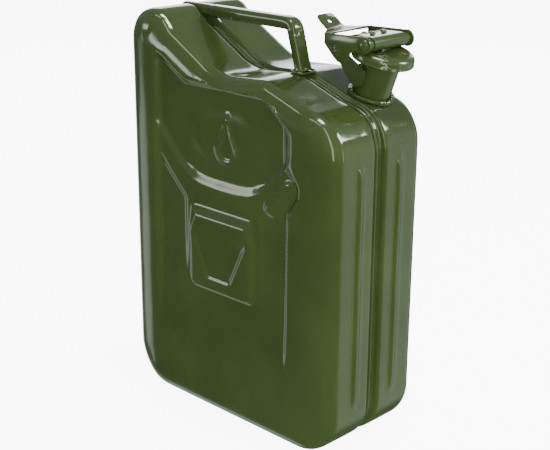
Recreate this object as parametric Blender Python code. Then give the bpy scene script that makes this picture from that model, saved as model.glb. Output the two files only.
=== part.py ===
"""Ten litre pressed-steel fuel can with a lever closure.

Built in metres, +Z up. The spout is at +X, the carrying handle runs along X,
and the two wide faces look along -Y and +Y. Lengths below are millimetres
(see MM) measured from the middle of the can's body; CAN_X then moves the
whole can so that its box is centred on the origin. The neck and the closure
are drawn about the plane y = 0, and SPOUT sets them on the far half, clear of
the seam.
"""
import math

import bmesh
import bpy
from mathutils import Matrix, Vector, geometry

MM = 0.001

# ---- driving dimensions, in millimetres ------------------------------------
CAN_X = -1.0             # body's middle, half the ribs' rise behind the box's middle
HALF_LENGTH = 140.0      # half the body along X
HALF_WIDTH = 66.3        # half the body along Y
TOP = 403.5              # top of the rear hump
SHEET = 0.9              # body sheet
GAP = 0.3                # clearance kept between touching pieces

FACE_FILLET = 15.0       # rounding between a wide face and the side wall
FILLET_SWEEP = 73.3      # degrees of that rounding; the face's crown turns the rest
CROWN, CROWN_REACH = 2.4, 16.0   # curve of the wide face inside its rim: depth, width
CHANNEL_HALF = 6.4       # half the width of the seam channel at its lips
LIP_RADIUS = 4.0         # rounding of a channel lip
CHANNEL_DEPTH = 6.0      # how far the seam lies under the side wall
TOP_CHANNEL_DEPTH = 4.0  # the same along the top
HANDLE_POCKET = 13.6     # channel depth where the handle lands on the hump
RIB_Y, RIB_HALF, RIB_RISE = 27.5, 5.5, 2.0   # two upright ribs on the front wall
RIB_LOW, RIB_HIGH, RIB_RUNOUT = 44.0, 292.0, 16.0

# corners of the body seen along Y: x, z, radius; negative radius is hollow
OUTLINE = [
    (-HALF_LENGTH, 0.0, 48.0),
    (HALF_LENGTH, 0.0, 44.0),
    (HALF_LENGTH, 327.5, 42.0),
    (95.0, 337.0, -60.0),
    (45.0, 354.5, 40.0),
    (-15.0, 350.5, -70.0),
    (-81.0, 388.0, -50.0),
    (-97.0, TOP, 24.0),
    (-HALF_LENGTH, TOP, 31.0),
]

# pressed figure of a wide face, heights along its outward normal
PANEL_LEFT, PANEL_RIGHT, PANEL_LOW, PANEL_RECESS = -99.0, 92.0, 66.0, 3.4
BADGE_X, BADGE_LOW, BADGE_HIGH = -3.5, 133.0, 222.0
BADGE_HALF, BADGE_RISE, BADGE_SLOPE = 46.5, 5.0, 8.0
UPPER_RECESS = 3.2
ARM_FOOT, ARM_SLOPE, ARM_WIDE, ELBOW = 236.0, 1.02, 42.0, 11.0   # lower edge of the upper field
SWELL_X, SWELL_Z, SWELL_RISE = 2.0, 288.0, 1.2

# neck and mouth
SPOUT = Vector((-24.8, 31.0, -7.2))   # from the drawing place of neck and closure to their real one
NECK_FOOT, NECK_FOOT_TILT = (124.4, 343.2), 15.0
MOUTH, MOUTH_TILT = (137.5, 380.0), 14.0
NECK_TOP = (136.5, 376.1)  # where the neck's lean ends and its collar begins
NECK_BELOW = 12.0        # how far the neck reaches in below its foot
NECK_OUTER, NECK_WALL = 17.8, 1.2
FLANGE_RADIUS = 25.0
MOUTH_RING_HALF = 2.5
LID_RADIUS = 29.0
LID_TOP = 8.1            # top of the lid over the mouth's plane
LID_SHEET = 1.2
NECK_WELD_RADIUS = 2.2
HANDLE_SHEET = 1.2

# closure: rear hinge and lever pivot
HINGE = (98.0, 391.0)
PIVOT = (140.5, 395.4)
HINGE_POINT = (HINGE[0], 0.0, HINGE[1])
PIVOT_POINT = (PIVOT[0], 0.0, PIVOT[1])
LEVER_CHEEK_Y = 31.5     # outside of the lever's cheeks
LEVER_SHEET = 1.5
BRACKET_Y = 21.4         # outside of the bracket's arms
BRACKET_SHEET = 2.0
YOKE_HALF = 22.7         # half length of the yoke's barrel
KNUCKLE_HALF = 18.9
BARREL_RADIUS = 6.5
KNUCKLE_RADIUS = 5.2
PIN_RADIUS = 3.0
BORE_RADIUS = 3.3
STUD_X, STUD_Y = 127.5, 8.0
STUD_SHANK, STUD_SHOULDER, STUD_HEAD = 2.0, 3.2, 3.2
STRAP_LOW, STRAP_HIGH = 400.1, 401.9  # underside and top of the yoke's strap


def clear_scene():
    for old in list(bpy.data.objects):
        bpy.data.objects.remove(old, do_unlink=True)


def paint(name, colour, roughness=0.25, metallic=0.0):
    """A Principled material; the can is enamelled olive green all over."""
    material = bpy.data.materials.new(name)
    material.use_nodes = True
    shader = material.node_tree.nodes["Principled BSDF"]
    shader.inputs["Base Color"].default_value = (*colour, 1.0)
    shader.inputs["Roughness"].default_value = roughness
    shader.inputs["Metallic"].default_value = metallic
    return material


OLIVE = (0.045, 0.065, 0.015)


def add_object(name, bm, material, pivot=(0.0, 0.0, 0.0), closed=True, shift=Vector()):
    """Turn a bmesh drawn in millimetres into an object whose origin is pivot."""
    if closed:
        bmesh.ops.recalc_face_normals(bm, faces=bm.faces)
    bmesh.ops.translate(bm, verts=bm.verts, vec=-Vector(pivot))
    bmesh.ops.scale(bm, verts=bm.verts, vec=(MM, MM, MM))
    mesh = bpy.data.meshes.new(name)
    bm.to_mesh(mesh)
    bm.free()
    mesh.shade_smooth()
    mesh.set_sharp_from_angle(angle=math.radians(35))
    mesh.materials.append(material)
    obj = bpy.data.objects.new(name, mesh)
    obj.location = (Vector(pivot) + shift + Vector((CAN_X, 0.0, 0.0))) * MM
    bpy.context.scene.collection.objects.link(obj)
    return obj


def smooth(edge0, edge1, value):
    """0 below edge0, 1 above edge1, smooth between."""
    t = min(1.0, max(0.0, (value - edge0) / (edge1 - edge0)))
    return t * t * (3.0 - 2.0 * t)


# ---- the body's outline ----------------------------------------------------
def rounded_path(corners, arc_step, straight_step):
    """Points and outward normals round a closed polygon with rounded corners."""
    count = len(corners)
    arcs = []
    for i, (x, z, radius) in enumerate(corners):
        here = Vector((x, z))
        before = Vector(corners[i - 1][:2])
        after = Vector(corners[(i + 1) % count][:2])
        come, go = (here - before).normalized(), (after - here).normalized()
        turn = come.angle_signed(go)          # clockwise positive in mathutils
        reach = abs(radius) * math.tan(abs(turn) / 2)
        side = -1.0 if turn > 0 else 1.0      # left-hand turns are convex here
        start = here - come * reach
        left = Vector((-come.y, come.x))
        centre = start + left * side * abs(radius)
        arcs.append((start, centre, side * abs(turn), side, here + go * reach))
    points = []
    for i, (start, centre, turn, side, end) in enumerate(arcs):
        steps = max(1, math.ceil(abs(turn) / arc_step - 1e-6))
        for k in range(steps + 1):
            arm = Matrix.Rotation(turn * k / steps, 2) @ (start - centre)
            normal = arm.normalized() * side
            points.append((centre + arm, normal))
        run = arcs[(i + 1) % count][0] - end
        pieces = max(1, math.ceil(run.length / straight_step - 1e-6))
        normal = Vector((run.y, -run.x)).normalized()
        for k in range(1, pieces):
            points.append((end + run * k / pieces, normal))
    return points


def channel_depth(point):
    """Depth of the seam channel under the side wall at a point of the outline."""
    x, z = point
    if z < 300.0:
        return CHANNEL_DEPTH
    on_top = smooth(305.0, 325.0, z) * smooth(-139.0, -132.0, x)
    depth = CHANNEL_DEPTH + (TOP_CHANNEL_DEPTH - CHANNEL_DEPTH) * on_top
    pocket = smooth(-132.0, -123.0, x) * (1.0 - smooth(-86.0, -76.0, x)) * smooth(376.0, 384.0, z)
    return depth + (HANDLE_POCKET - depth) * pocket


def rib_rise(point, normal, y):
    """Height of the two upright ribs on the front wall."""
    if normal.x < 0.99:
        return 0.0
    along = smooth(RIB_LOW, RIB_LOW + RIB_RUNOUT, point.y)
    along *= 1.0 - smooth(RIB_HIGH - RIB_RUNOUT, RIB_HIGH, point.y)
    across = max(0.0, 1.0 - ((abs(y) - RIB_Y) / RIB_HALF) ** 2)
    return RIB_RISE * along * across


# ---- the pressed figure of a wide face -------------------------------------
def face_height(x, z):
    """How far a wide face stands out (+) or is pressed in (-) at x, z."""
    top = 366.0 - 22.0 * smooth(-99.0, -48.0, x) - 28.0 * smooth(45.0, 95.0, x)
    panel = smooth(PANEL_LEFT, PANEL_LEFT + 6.0, x) * (1.0 - smooth(PANEL_RIGHT - 6.0, PANEL_RIGHT, x))
    panel *= 1.0 - smooth(top - 8.0, top, z)
    height = -PANEL_RECESS * panel * smooth(PANEL_LOW, PANEL_LOW + 75.0, z)
    off = abs(x - BADGE_X)
    arm = ARM_FOOT + ARM_SLOPE * 0.5 * (off - ARM_WIDE + math.hypot(off - ARM_WIDE, ELBOW))
    height -= UPPER_RECESS * smooth(arm, arm + 12.0, z) * panel
    swell = math.hypot((x - SWELL_X) / 60.0, (z - SWELL_Z) / 35.0)
    height += SWELL_RISE * (1.0 - smooth(0.55, 1.0, swell))
    across = 1.0 - smooth(BADGE_HALF - BADGE_SLOPE, BADGE_HALF, off)
    along = smooth(BADGE_LOW, BADGE_LOW + BADGE_SLOPE, z) * (1.0 - smooth(BADGE_HIGH - 14.0, BADGE_HIGH, z))
    dish_half = 14.0 + (z - 150.0) * 0.48
    dish = 1.0 - smooth(dish_half, dish_half + 6.0, off)
    dish *= smooth(146.0, 152.0, z) * (1.0 - smooth(187.0, 197.0, z))
    return height + BADGE_RISE * across * along - 1.8 * dish


# ---- half shells -----------------------------------------------------------
def side_profile(point, normal):
    """Inset from the outline and distance from the seam plane, seam to face."""
    depth = channel_depth(point)
    rows = [(depth, 0.9), (depth, CHANNEL_HALF - 0.3)]
    lip_top = CHANNEL_HALF + LIP_RADIUS
    for angle in (20, 55, 90):
        a = math.radians(angle)
        rows.append((LIP_RADIUS * (1.0 - math.sin(a)), lip_top - LIP_RADIUS * math.cos(a)))
    rows[2] = (min(rows[2][0], depth - 0.8), rows[2][1])
    for y in (RIB_Y - RIB_HALF, RIB_Y, RIB_Y + RIB_HALF):
        rows.append((-rib_rise(point, normal, y), y))
    fillet_start = HALF_WIDTH - CROWN - FACE_FILLET * math.sin(math.radians(FILLET_SWEEP))
    for step in range(5):
        a = math.radians(FILLET_SWEEP) * step / 4
        rows.append((FACE_FILLET * (1.0 - math.cos(a)), fillet_start + FACE_FILLET * math.sin(a)))
    return rows


def shell_surface(side, arc_step, straight_step, grid_step):
    """One pressed half as an open surface; side is -1 near, +1 far."""
    path = rounded_path(OUTLINE, arc_step, straight_step)
    bm = bmesh.new()
    rings = []
    for point, normal in path:
        column = []
        for inset, y in side_profile(point, normal):
            spot = point - normal * inset
            column.append(bm.verts.new((spot.x, side * y, spot.y)))
        rings.append(column)
    count = len(rings)
    for i in range(count):
        a, b = rings[i], rings[(i + 1) % count]
        for k in range(len(a) - 1):
            quad = (a[k], b[k], b[k + 1], a[k + 1])
            bm.faces.new(quad if side < 0 else quad[::-1])
    rim = [ring[-1] for ring in rings]
    border = [Vector((v.co.x, v.co.z)) for v in rim]
    inner = list(face_grid(border, grid_step))
    edges = [(i, (i + 1) % count) for i in range(count)]
    flat = geometry.delaunay_2d_cdt(border + inner, edges, [], 1, 1e-4)
    made = list(rim)
    for p in flat[0][count:]:
        near_rim = max(0.0, 1.0 - edge_distance(p, border) / CROWN_REACH)
        stand = HALF_WIDTH + face_height(p.x, p.y) - CROWN * near_rim ** 2
        made.append(bm.verts.new((p.x, side * stand, p.y)))
    for tri in flat[2]:
        corners = [made[i] for i in tri]
        bm.faces.new(corners if side < 0 else corners[::-1])
    return bm


def face_grid(border, step):
    """Staggered points inside the border, kept off its edge."""
    low_x, high_x = min(p.x for p in border), max(p.x for p in border)
    low_z, high_z = min(p.y for p in border), max(p.y for p in border)
    row, z = 0, low_z + step / 2
    while z < high_z:
        x = low_x + (step / 2 if row % 2 else step)
        while x < high_x:
            p = Vector((x, z))
            if inside(p, border) and edge_distance(p, border) > step * 0.45:
                yield p
            x += step
        z += step * 0.87
        row += 1


def inside(p, border):
    hit = False
    for i, a in enumerate(border):
        b = border[i - 1]
        if (a.y > p.y) != (b.y > p.y) and p.x < (b.x - a.x) * (p.y - a.y) / (b.y - a.y) + a.x:
            hit = not hit
    return hit


def edge_distance(p, border):
    best = 1e9
    for i, a in enumerate(border):
        b = border[i - 1]
        run = b - a
        t = min(1.0, max(0.0, (p - a).dot(run) / run.length_squared))
        best = min(best, (p - (a + run * t)).length)
    return best


def tilted(centre, tilt, radius, angle, rise=0.0):
    """Point on a circle whose axis leans tilt degrees from +Z towards +X."""
    a, t = math.radians(angle), math.radians(tilt)
    along, up = Vector((math.cos(t), 0.0, -math.sin(t))), Vector((math.sin(t), 0.0, math.cos(t)))
    spot = Vector((centre[0], 0.0, centre[1])) + up * rise
    return spot + along * radius * math.cos(a) + Vector((0.0, radius * math.sin(a), 0.0))


def ring_of(centre, tilt, radius, rise=0.0, count=32):
    return [tilted(centre, tilt, radius, 360.0 * k / count, rise) for k in range(count)]


def neck_axis():
    run = Vector((NECK_TOP[0] - NECK_FOOT[0], 0.0, NECK_TOP[1] - NECK_FOOT[1]))
    return run.normalized()


def neck_station(travel):
    """Centre and tilt of the neck, travel millimetres up from its foot."""
    axis = neck_axis()
    length = math.dist(NECK_FOOT, NECK_TOP)
    tilt = NECK_FOOT_TILT + (MOUTH_TILT - NECK_FOOT_TILT) * travel / length
    return (NECK_FOOT[0] + axis.x * travel, NECK_FOOT[1] + axis.z * travel), tilt


def as_cutter(name, bm):
    """A wire helper that a Boolean reads; it is not a piece of the can."""
    cutter = add_object(name, bm, bpy.data.materials.new("cutter"), shift=SPOUT)
    cutter.display_type = "WIRE"
    cutter.hide_render = True
    return cutter


def neck_cutter(radius):
    """Wire cylinder along the neck, which opens what lies under it."""
    bm = bmesh.new()
    turn = Vector((0, 0, 1)).rotation_difference(neck_axis()).to_matrix().to_4x4()
    middle = Vector((NECK_FOOT[0], 0.0, NECK_FOOT[1]))
    bmesh.ops.create_cone(bm, cap_ends=True, segments=32, radius1=radius, radius2=radius,
                          depth=60.0, matrix=Matrix.Translation(middle) @ turn)
    return as_cutter("neck_cutter", bm)


def build_shell(name, side, cutter):
    bm = shell_surface(side, math.radians(16), 62.0, 13.0)
    shell = add_object(name, bm, paint(name + "_enamel", OLIVE), closed=False)
    thick = shell.modifiers.new("sheet", "SOLIDIFY")
    thick.thickness = SHEET * MM
    thick.offset = -1.0
    thick.use_even_offset = True
    if cutter is not None:
        cut_with(shell, cutter)


def cut_with(obj, cutter):
    cut = obj.modifiers.new("cut", "BOOLEAN")
    cut.operation = "DIFFERENCE"
    cut.object = cutter


def weld_to(obj, other):
    join = obj.modifiers.new("join", "BOOLEAN")
    join.operation = "UNION"
    join.object = other


# ---- general builders, all in millimetres ----------------------------------
def loft(bm, rings, closed=False):
    """Skin a list of rings of points; ends are capped unless closed."""
    rows = [[bm.verts.new(p) for p in ring] for ring in rings]
    pairs = list(zip(rows, rows[1:]))
    if closed:
        pairs.append((rows[-1], rows[0]))
    for a, b in pairs:
        bridge(bm, a, b)
    if not closed:
        bm.faces.new(rows[0])
        bm.faces.new(rows[-1][::-1])


def open_tube(outer, inner):
    """A tube between two skins of rings, open at both ends."""
    bm = bmesh.new()
    skins = []
    for rings in (outer, inner):
        rows = [[bm.verts.new(p) for p in ring] for ring in rings]
        for a, b in zip(rows, rows[1:]):
            bridge(bm, a, b)
        skins.append(rows)
    for end in (0, -1):
        bridge(bm, skins[0][end], skins[1][end])
    return bm


def bridge(bm, a, b):
    for k in range(len(a)):
        bm.faces.new((a[k], a[k - 1], b[k - 1], b[k]))


def plate(outer, holes, y_low, y_high):
    """A flat plate standing in XZ, with holes, between two Y planes."""
    bm = bmesh.new()
    edges = []
    for loop in [outer] + holes:
        verts = [bm.verts.new((x, y_low, z)) for x, z in loop]
        edges += [bm.edges.new((verts[i - 1], verts[i])) for i in range(len(verts))]
    filled = bmesh.ops.triangle_fill(bm, use_beauty=True, edges=edges)
    faces = [f for f in filled["geom"] if isinstance(f, bmesh.types.BMFace)]
    grown = bmesh.ops.extrude_face_region(bm, geom=faces)
    moved = [v for v in grown["geom"] if isinstance(v, bmesh.types.BMVert)]
    bmesh.ops.translate(bm, verts=moved, vec=(0.0, y_high - y_low, 0.0))
    return bm


def circle(centre, radius, count=20, start=0.0, sweep=360.0):
    """Points of a circle or arc in XZ; a full circle leaves out its last point."""
    steps = count if sweep == 360.0 else count - 1
    found = []
    for k in range(count):
        a = math.radians(start + sweep * k / steps)
        found.append((centre[0] + radius * math.cos(a), centre[1] + radius * math.sin(a)))
    return found


def turned(centre, tilt, profile, count=40):
    """Revolve a closed profile of (radius, rise) about a leaning axis."""
    bm = bmesh.new()
    rings = []
    for k in range(count):
        angle = 360.0 * k / count
        rings.append([tilted(centre, tilt, r, angle, s) for r, s in profile])
    loft(bm, rings, closed=True)
    return bm


def join_meshes(parts):
    bm = bmesh.new()
    for part in parts:
        scratch = bpy.data.meshes.new("scratch")
        bmesh.ops.recalc_face_normals(part, faces=part.faces)
        part.to_mesh(scratch)
        part.free()
        bm.from_mesh(scratch)
        bpy.data.meshes.remove(scratch)
    return bm


def rod(centre, steps):
    """A round bar along Y; steps are (y, radius) from one end to the other."""
    bm = bmesh.new()
    rings = [[(x, y, z) for x, z in circle(centre, radius, 20)] for y, radius in steps]
    loft(bm, rings)
    return bm


def bar_rings(points, radius, count, closed=False):
    """Rings of a round bar along a list of 3-D points."""
    rings = []
    total = len(points)
    across = Vector((0.0, 1.0, 0.0))
    for i, p in enumerate(points):
        ahead = points[(i + 1) % total] if closed or i + 1 < total else points[i]
        behind = points[i - 1] if closed or i else points[i]
        run = (Vector(ahead) - Vector(behind)).normalized()
        if closed or abs(run.y) > 0.7:
            across = Vector((0.3, 0.0, 0.95))
        side = (across - run * across.dot(run)).normalized()
        other = run.cross(side)
        ring = []
        for k in range(count):
            a = 2 * math.pi * k / count
            ring.append(Vector(p) + side * radius * math.cos(a) + other * radius * math.sin(a))
        rings.append(ring)
    return rings


def bar(points, radius, closed=False):
    bm = bmesh.new()
    loft(bm, bar_rings(points, radius, 8, closed), closed=closed)
    return bm


def outline_height(x):
    """Height of the can's top at x, on the side wall."""
    path = rounded_path(OUTLINE, math.radians(6), 20.0)
    best = 0.0
    for i, (b, _) in enumerate(path):
        a = path[i - 1][0]
        if a.y > 200 and b.y > 200 and (a.x - x) * (b.x - x) <= 0 and a.x != b.x:
            best = max(best, a.y + (b.y - a.y) * (x - a.x) / (b.x - a.x))
    return best


# ---- seam, handle and neck -------------------------------------------------
def build_seam_bead():
    """Weld bead that joins the two shells at the bottom of the channel."""
    bm = bmesh.new()
    rings = []
    for point, normal in rounded_path(OUTLINE, math.radians(16), 62.0):
        floor = channel_depth(point) - GAP
        section = [(floor, -2.0), (floor - 1.2, -1.6), (floor - 1.9, 0.0), (floor - 1.2, 1.6), (floor, 2.0)]
        ring = []
        for inset, y in section:
            spot = point - normal * inset
            ring.append((spot.x, y, spot.y))
        rings.append(ring)
    loft(bm, rings, closed=True)
    add_object("seam_bead", bm, paint("bead_enamel", OLIVE))


def rounded_rect(half_a, half_b, corner, per_corner=3):
    """Points of a rounded rectangle, counter-clockwise."""
    found = []
    for sa, sb, start in ((1, 1, 0), (-1, 1, 90), (-1, -1, 180), (1, -1, 270)):
        for k in range(per_corner):
            a = math.radians(start + 90.0 * k / (per_corner - 1))
            found.append((sa * (half_a - corner) + corner * math.cos(a),
                          sb * (half_b - corner) + corner * math.sin(a)))
    return found


# handle's centre line in XZ with its thickness and half width there
HANDLE_LINE = [
    (-121.0, 398.6, 11.4, 5.8),
    (-84.0, 398.6, 11.8, 6.0),
    (-70.0, 398.6, 12.0, 7.0),
    (20.0, 398.6, 12.0, 7.6),
    (27.0, 397.8, 11.4, 8.0),
    (31.0, 394.6, 10.6, 8.2),
    (33.0, 389.0, 10.4, 8.4),
    (41.0, 361.0, 10.4, 8.4),
    (42.5, 355.2, 12.0, 9.0),
]
HANDLE_FOOT_X, HANDLE_FOOT_HALF = 42.5, (6.0, 9.0)
HANDLE_WELD_RADIUS = 1.2


def handle_skin(shrink):
    """Rings of the handle's outside, or of its inside when shrunk by its sheet."""
    rings = []
    last = len(HANDLE_LINE) - 1
    for i, (x, z, thick, half) in enumerate(HANDLE_LINE):
        before = HANDLE_LINE[max(i - 1, 0)]
        after = HANDLE_LINE[min(i + 1, last)]
        run = Vector((after[0] - before[0], after[1] - before[1])).normalized()
        if i == last:
            run = Vector((0.0, -1.0))
        normal = Vector((-run.y, run.x))
        ring = []
        for a, b in rounded_rect(thick / 2 - shrink, half - shrink, 3.4 - shrink):
            ring.append((x + normal.x * a, b, z + normal.y * a))
        rings.append(ring)
    return rings


def build_handle():
    """Bent tube, open at both ends where it is welded to the can."""
    bm = open_tube(handle_skin(0.0), handle_skin(HANDLE_SHEET))
    add_object("handle", bm, paint("handle_enamel", OLIVE))


def build_handle_welds():
    rear = bar([(-123.0, -5.0, 395.8), (-123.0, 0.0, 395.8), (-123.0, 5.0, 395.8)], 1.4)
    add_object("handle_rear_weld", rear, paint("rear_weld_enamel", OLIVE))
    path = []
    out = GAP + HANDLE_WELD_RADIUS
    for a, b in rounded_rect(HANDLE_FOOT_HALF[0] + out, HANDLE_FOOT_HALF[1] + out, 4.5, 4):
        x = HANDLE_FOOT_X + a
        path.append((x, b, outline_height(x) + GAP + out))
    front = bar(path, HANDLE_WELD_RADIUS, closed=True)
    add_object("handle_front_weld", front, paint("front_weld_enamel", OLIVE))


def neck_skin(radius):
    rings = []
    length = math.dist(NECK_FOOT, NECK_TOP)
    for travel in (-NECK_BELOW, 0.0, length / 2, length):
        centre, tilt = neck_station(travel)
        rings.append(ring_of(centre, tilt, radius))
    rings.append(ring_of(MOUTH, MOUTH_TILT, radius, MOUTH_RING_HALF))
    return rings


def build_neck():
    """Leaning tube from inside the can up to the mouth."""
    bm = open_tube(neck_skin(NECK_OUTER), neck_skin(NECK_OUTER - NECK_WALL))
    add_object("neck", bm, paint("neck_enamel", OLIVE), shift=SPOUT)


def build_neck_weld():
    """Bead that follows the shoulder round the neck."""
    points = []
    reach = NECK_OUTER + NECK_WELD_RADIUS + GAP
    for k in range(32):
        angle = 360.0 * k / 32
        low, high = -NECK_BELOW - 8.0, 20.0
        for _ in range(30):
            travel = (low + high) / 2
            centre, tilt = neck_station(travel)
            spot = tilted(centre, tilt, reach, angle)
            real = spot + SPOUT
            slope = outline_height(real.x + 0.5) - outline_height(real.x - 0.5)
            clear = (NECK_WELD_RADIUS + GAP) * math.hypot(1.0, slope)
            if real.z > outline_height(real.x) + clear:
                high = travel
            else:
                low = travel
        points.append(spot)
    weld = bar(points, NECK_WELD_RADIUS, closed=True)
    add_object("neck_weld", weld, paint("neck_weld_enamel", OLIVE), shift=SPOUT)


def build_mouth_ring():
    inner, outer = NECK_OUTER + GAP, FLANGE_RADIUS
    half = MOUTH_RING_HALF
    profile = [(inner, -half), (outer - 2.0, -half), (outer - 0.5, -1.6), (outer, 0.0),
               (outer - 0.5, 1.6), (outer - 2.0, half), (inner, half)]
    ring = turned(MOUTH, MOUTH_TILT, profile)
    add_object("mouth_ring", ring, paint("mouth_enamel", OLIVE), shift=SPOUT)


BREATHER_LINE = [(128.5, 0.0, 377.0), (123.2, 0.0, 362.0), (117.8, 0.0, 346.5), (112.0, 0.0, 331.0),
                 (104.0, 0.0, 321.5), (92.0, 0.0, 317.5), (66.0, 0.0, 322.0), (40.0, 0.0, 329.0)]


def build_breather():
    """Air tube from the mouth back under the can's top, open at both ends."""
    bm = open_tube(bar_rings(BREATHER_LINE, 4.0, 12), bar_rings(BREATHER_LINE, 3.2, 12))
    add_object("breather_tube", bm, paint("breather_steel", (0.4, 0.4, 0.38), 0.4, 1.0), shift=SPOUT)


# ---- closure ---------------------------------------------------------------
def at_mouth(x, y, rise):
    """A point over the mouth plane that stands at the given X."""
    t = math.radians(MOUTH_TILT)
    reach = (x - MOUTH[0] - rise * math.sin(t)) / math.cos(t)
    return Vector((x, y, MOUTH[1] - reach * math.sin(t) + rise * math.cos(t)))


def build_lid():
    shoulder = 5.0
    flat = LID_RADIUS - shoulder
    corner = LID_TOP - shoulder
    outer, inner = [], []
    for k in range(5):
        a = math.radians(90.0 * k / 4)
        outer.append((flat + shoulder * math.sin(a), corner + shoulder * math.cos(a)))
        thin = shoulder - LID_SHEET
        inner.append((flat + thin * math.sin(a), corner + thin * math.cos(a)))
    rim = [(LID_RADIUS, -0.2), (LID_RADIUS + 0.5, -0.8), (LID_RADIUS - 0.2, -1.6),
           (LID_RADIUS - LID_SHEET, -1.0)]
    half = [(0.0, LID_TOP)] + outer + rim + inner[::-1] + [(0.0, LID_TOP - LID_SHEET)]
    bm = bmesh.new()
    count = 40
    rings = []
    for radius, rise in half[1:-1]:
        rings.append([tilted(MOUTH, MOUTH_TILT, radius, 360.0 * k / count, rise) for k in range(count)])
    loft(bm, rings)
    lid = add_object("lid", bm, paint("lid_enamel", OLIVE), HINGE_POINT, shift=SPOUT)
    for y in (-STUD_Y, STUD_Y):
        cut_with(lid, stud_cutter(y))


def build_gasket():
    low, high = 2.8, LID_TOP - LID_SHEET - GAP
    profile = [(18.6, low), (24.0, low), (24.4, low + 0.5), (24.4, high - 0.5), (24.0, high), (18.6, high)]
    ring = turned(MOUTH, MOUTH_TILT, profile)
    add_object("gasket", ring, paint("rubber", (0.02, 0.02, 0.02), 0.7), HINGE_POINT, shift=SPOUT)


def upright_rod(x, y, steps, count=16):
    """A round bar along the lid's axis; steps are (rise over the mouth, radius)."""
    bm = bmesh.new()
    t = math.radians(MOUTH_TILT)
    along, up = Vector((math.cos(t), 0.0, -math.sin(t))), Vector((math.sin(t), 0.0, math.cos(t)))
    foot = at_mouth(x, y, LID_TOP) - up * LID_TOP
    rings = []
    for rise, radius in steps:
        ring = []
        for k in range(count):
            a = 2 * math.pi * k / count
            around = along * radius * math.cos(a) + Vector((0.0, radius * math.sin(a), 0.0))
            ring.append(foot + up * rise + around)
        rings.append(ring)
    loft(bm, rings)
    return bm


def stud_rise(z):
    """Rise over the mouth plane, along the stud, of a height at the stud."""
    t = math.radians(MOUTH_TILT)
    base = at_mouth(STUD_X, 0.0, LID_TOP)
    return LID_TOP + (z - base.z) / math.cos(t)


def stud_cutter(y):
    radius = STUD_SHANK + GAP
    return as_cutter("stud_cutter", upright_rod(STUD_X, y, [(0.0, radius), (40.0, radius)]))


def build_studs():
    low, high = LID_TOP - LID_SHEET, LID_TOP
    under_strap, over_strap = stud_rise(STRAP_LOW), stud_rise(STRAP_HIGH)
    steps = [(low - 1.9, 2.4), (low - 1.5, STUD_HEAD), (low - GAP, STUD_HEAD), (low - GAP, STUD_SHANK),
             (high + GAP, STUD_SHANK), (high + GAP, STUD_SHOULDER), (under_strap - 1.2, STUD_SHOULDER),
             (under_strap - 1.2, STUD_SHANK), (over_strap + 1.2, STUD_SHANK), (over_strap + 1.2, STUD_HEAD),
             (over_strap + 1.9, STUD_HEAD), (over_strap + 2.5, 2.2)]
    for name, y in (("near_lid_stud", -STUD_Y), ("far_lid_stud", STUD_Y)):
        stud = upright_rod(STUD_X, y, steps)
        add_object(name, stud, paint(name + "_enamel", OLIVE), HINGE_POINT, shift=SPOUT)


def build_yoke():
    """Strap with a barrel round the lever pin and a knuckle round the hinge pin."""
    outer = circle(PIVOT, BARREL_RADIUS, 16, 90.0, -316.3)
    outer += [(120.0, STRAP_LOW), (105.0, 395.3)]
    outer += circle(HINGE, KNUCKLE_RADIUS, 14, 50.0, -310.0)
    outer += [(103.4, 396.8), (119.6, STRAP_HIGH)]
    holes = [circle(PIVOT, BORE_RADIUS, 16), circle(HINGE, BORE_RADIUS, 16)]
    bm = plate(outer, holes, -YOKE_HALF, YOKE_HALF)
    taper_front, taper_rear = 130.0, 112.0
    for vert in bm.verts:
        share = smooth(taper_rear, taper_front, vert.co.x)
        half = KNUCKLE_HALF + (YOKE_HALF - KNUCKLE_HALF) * share
        vert.co.y = math.copysign(half, vert.co.y)
    yoke = add_object("yoke", bm, paint("yoke_enamel", OLIVE), HINGE_POINT, shift=SPOUT)
    for y in (-STUD_Y, STUD_Y):
        cut_with(yoke, stud_cutter(y))


# section of the bracket's band: travel up the neck and radius about its axis
BAND_LOW, BAND_HIGH = 13.0, 25.5
BAND_INNER, BAND_OUTER = NECK_OUTER + 0.4, BRACKET_Y - 0.1
BAND_SECTION = [(BAND_LOW, BAND_INNER), (BAND_LOW, BAND_OUTER),
                (BAND_HIGH, BAND_OUTER), (BAND_HIGH, BAND_INNER)]


def build_bracket():
    """Two arms and the band that hugs the back of the neck."""
    lower = [(121.5, 353.5), (131.5, 357.0), (134.0, 370.0), (125.0, 375.5), (117.0, 380.0), (108.0, 386.5)]
    arm = circle(HINGE, 6.4, 12, 0.0, 200.0) + [(94.0, 384.5), (101.0, 377.5), (110.0, 366.0)] + lower
    inner = BRACKET_Y - BRACKET_SHEET
    hole = circle(HINGE, BORE_RADIUS, 16)
    sides = [plate(arm, [hole], -BRACKET_Y, -inner), plate(arm, [hole], inner, BRACKET_Y)]
    bracket = add_object("closure_bracket", join_meshes(sides), paint("bracket_enamel", OLIVE), shift=SPOUT)
    band = bmesh.new()
    rings = []
    for k in range(17):
        angle = 90.0 + 180.0 * k / 16
        ring = []
        for travel, radius in BAND_SECTION:
            centre, tilt = neck_station(travel)
            ring.append(tilted(centre, tilt, radius, angle))
        rings.append(ring)
    loft(band, rings)
    weld_to(bracket, as_cutter("band_helper", band))


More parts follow.
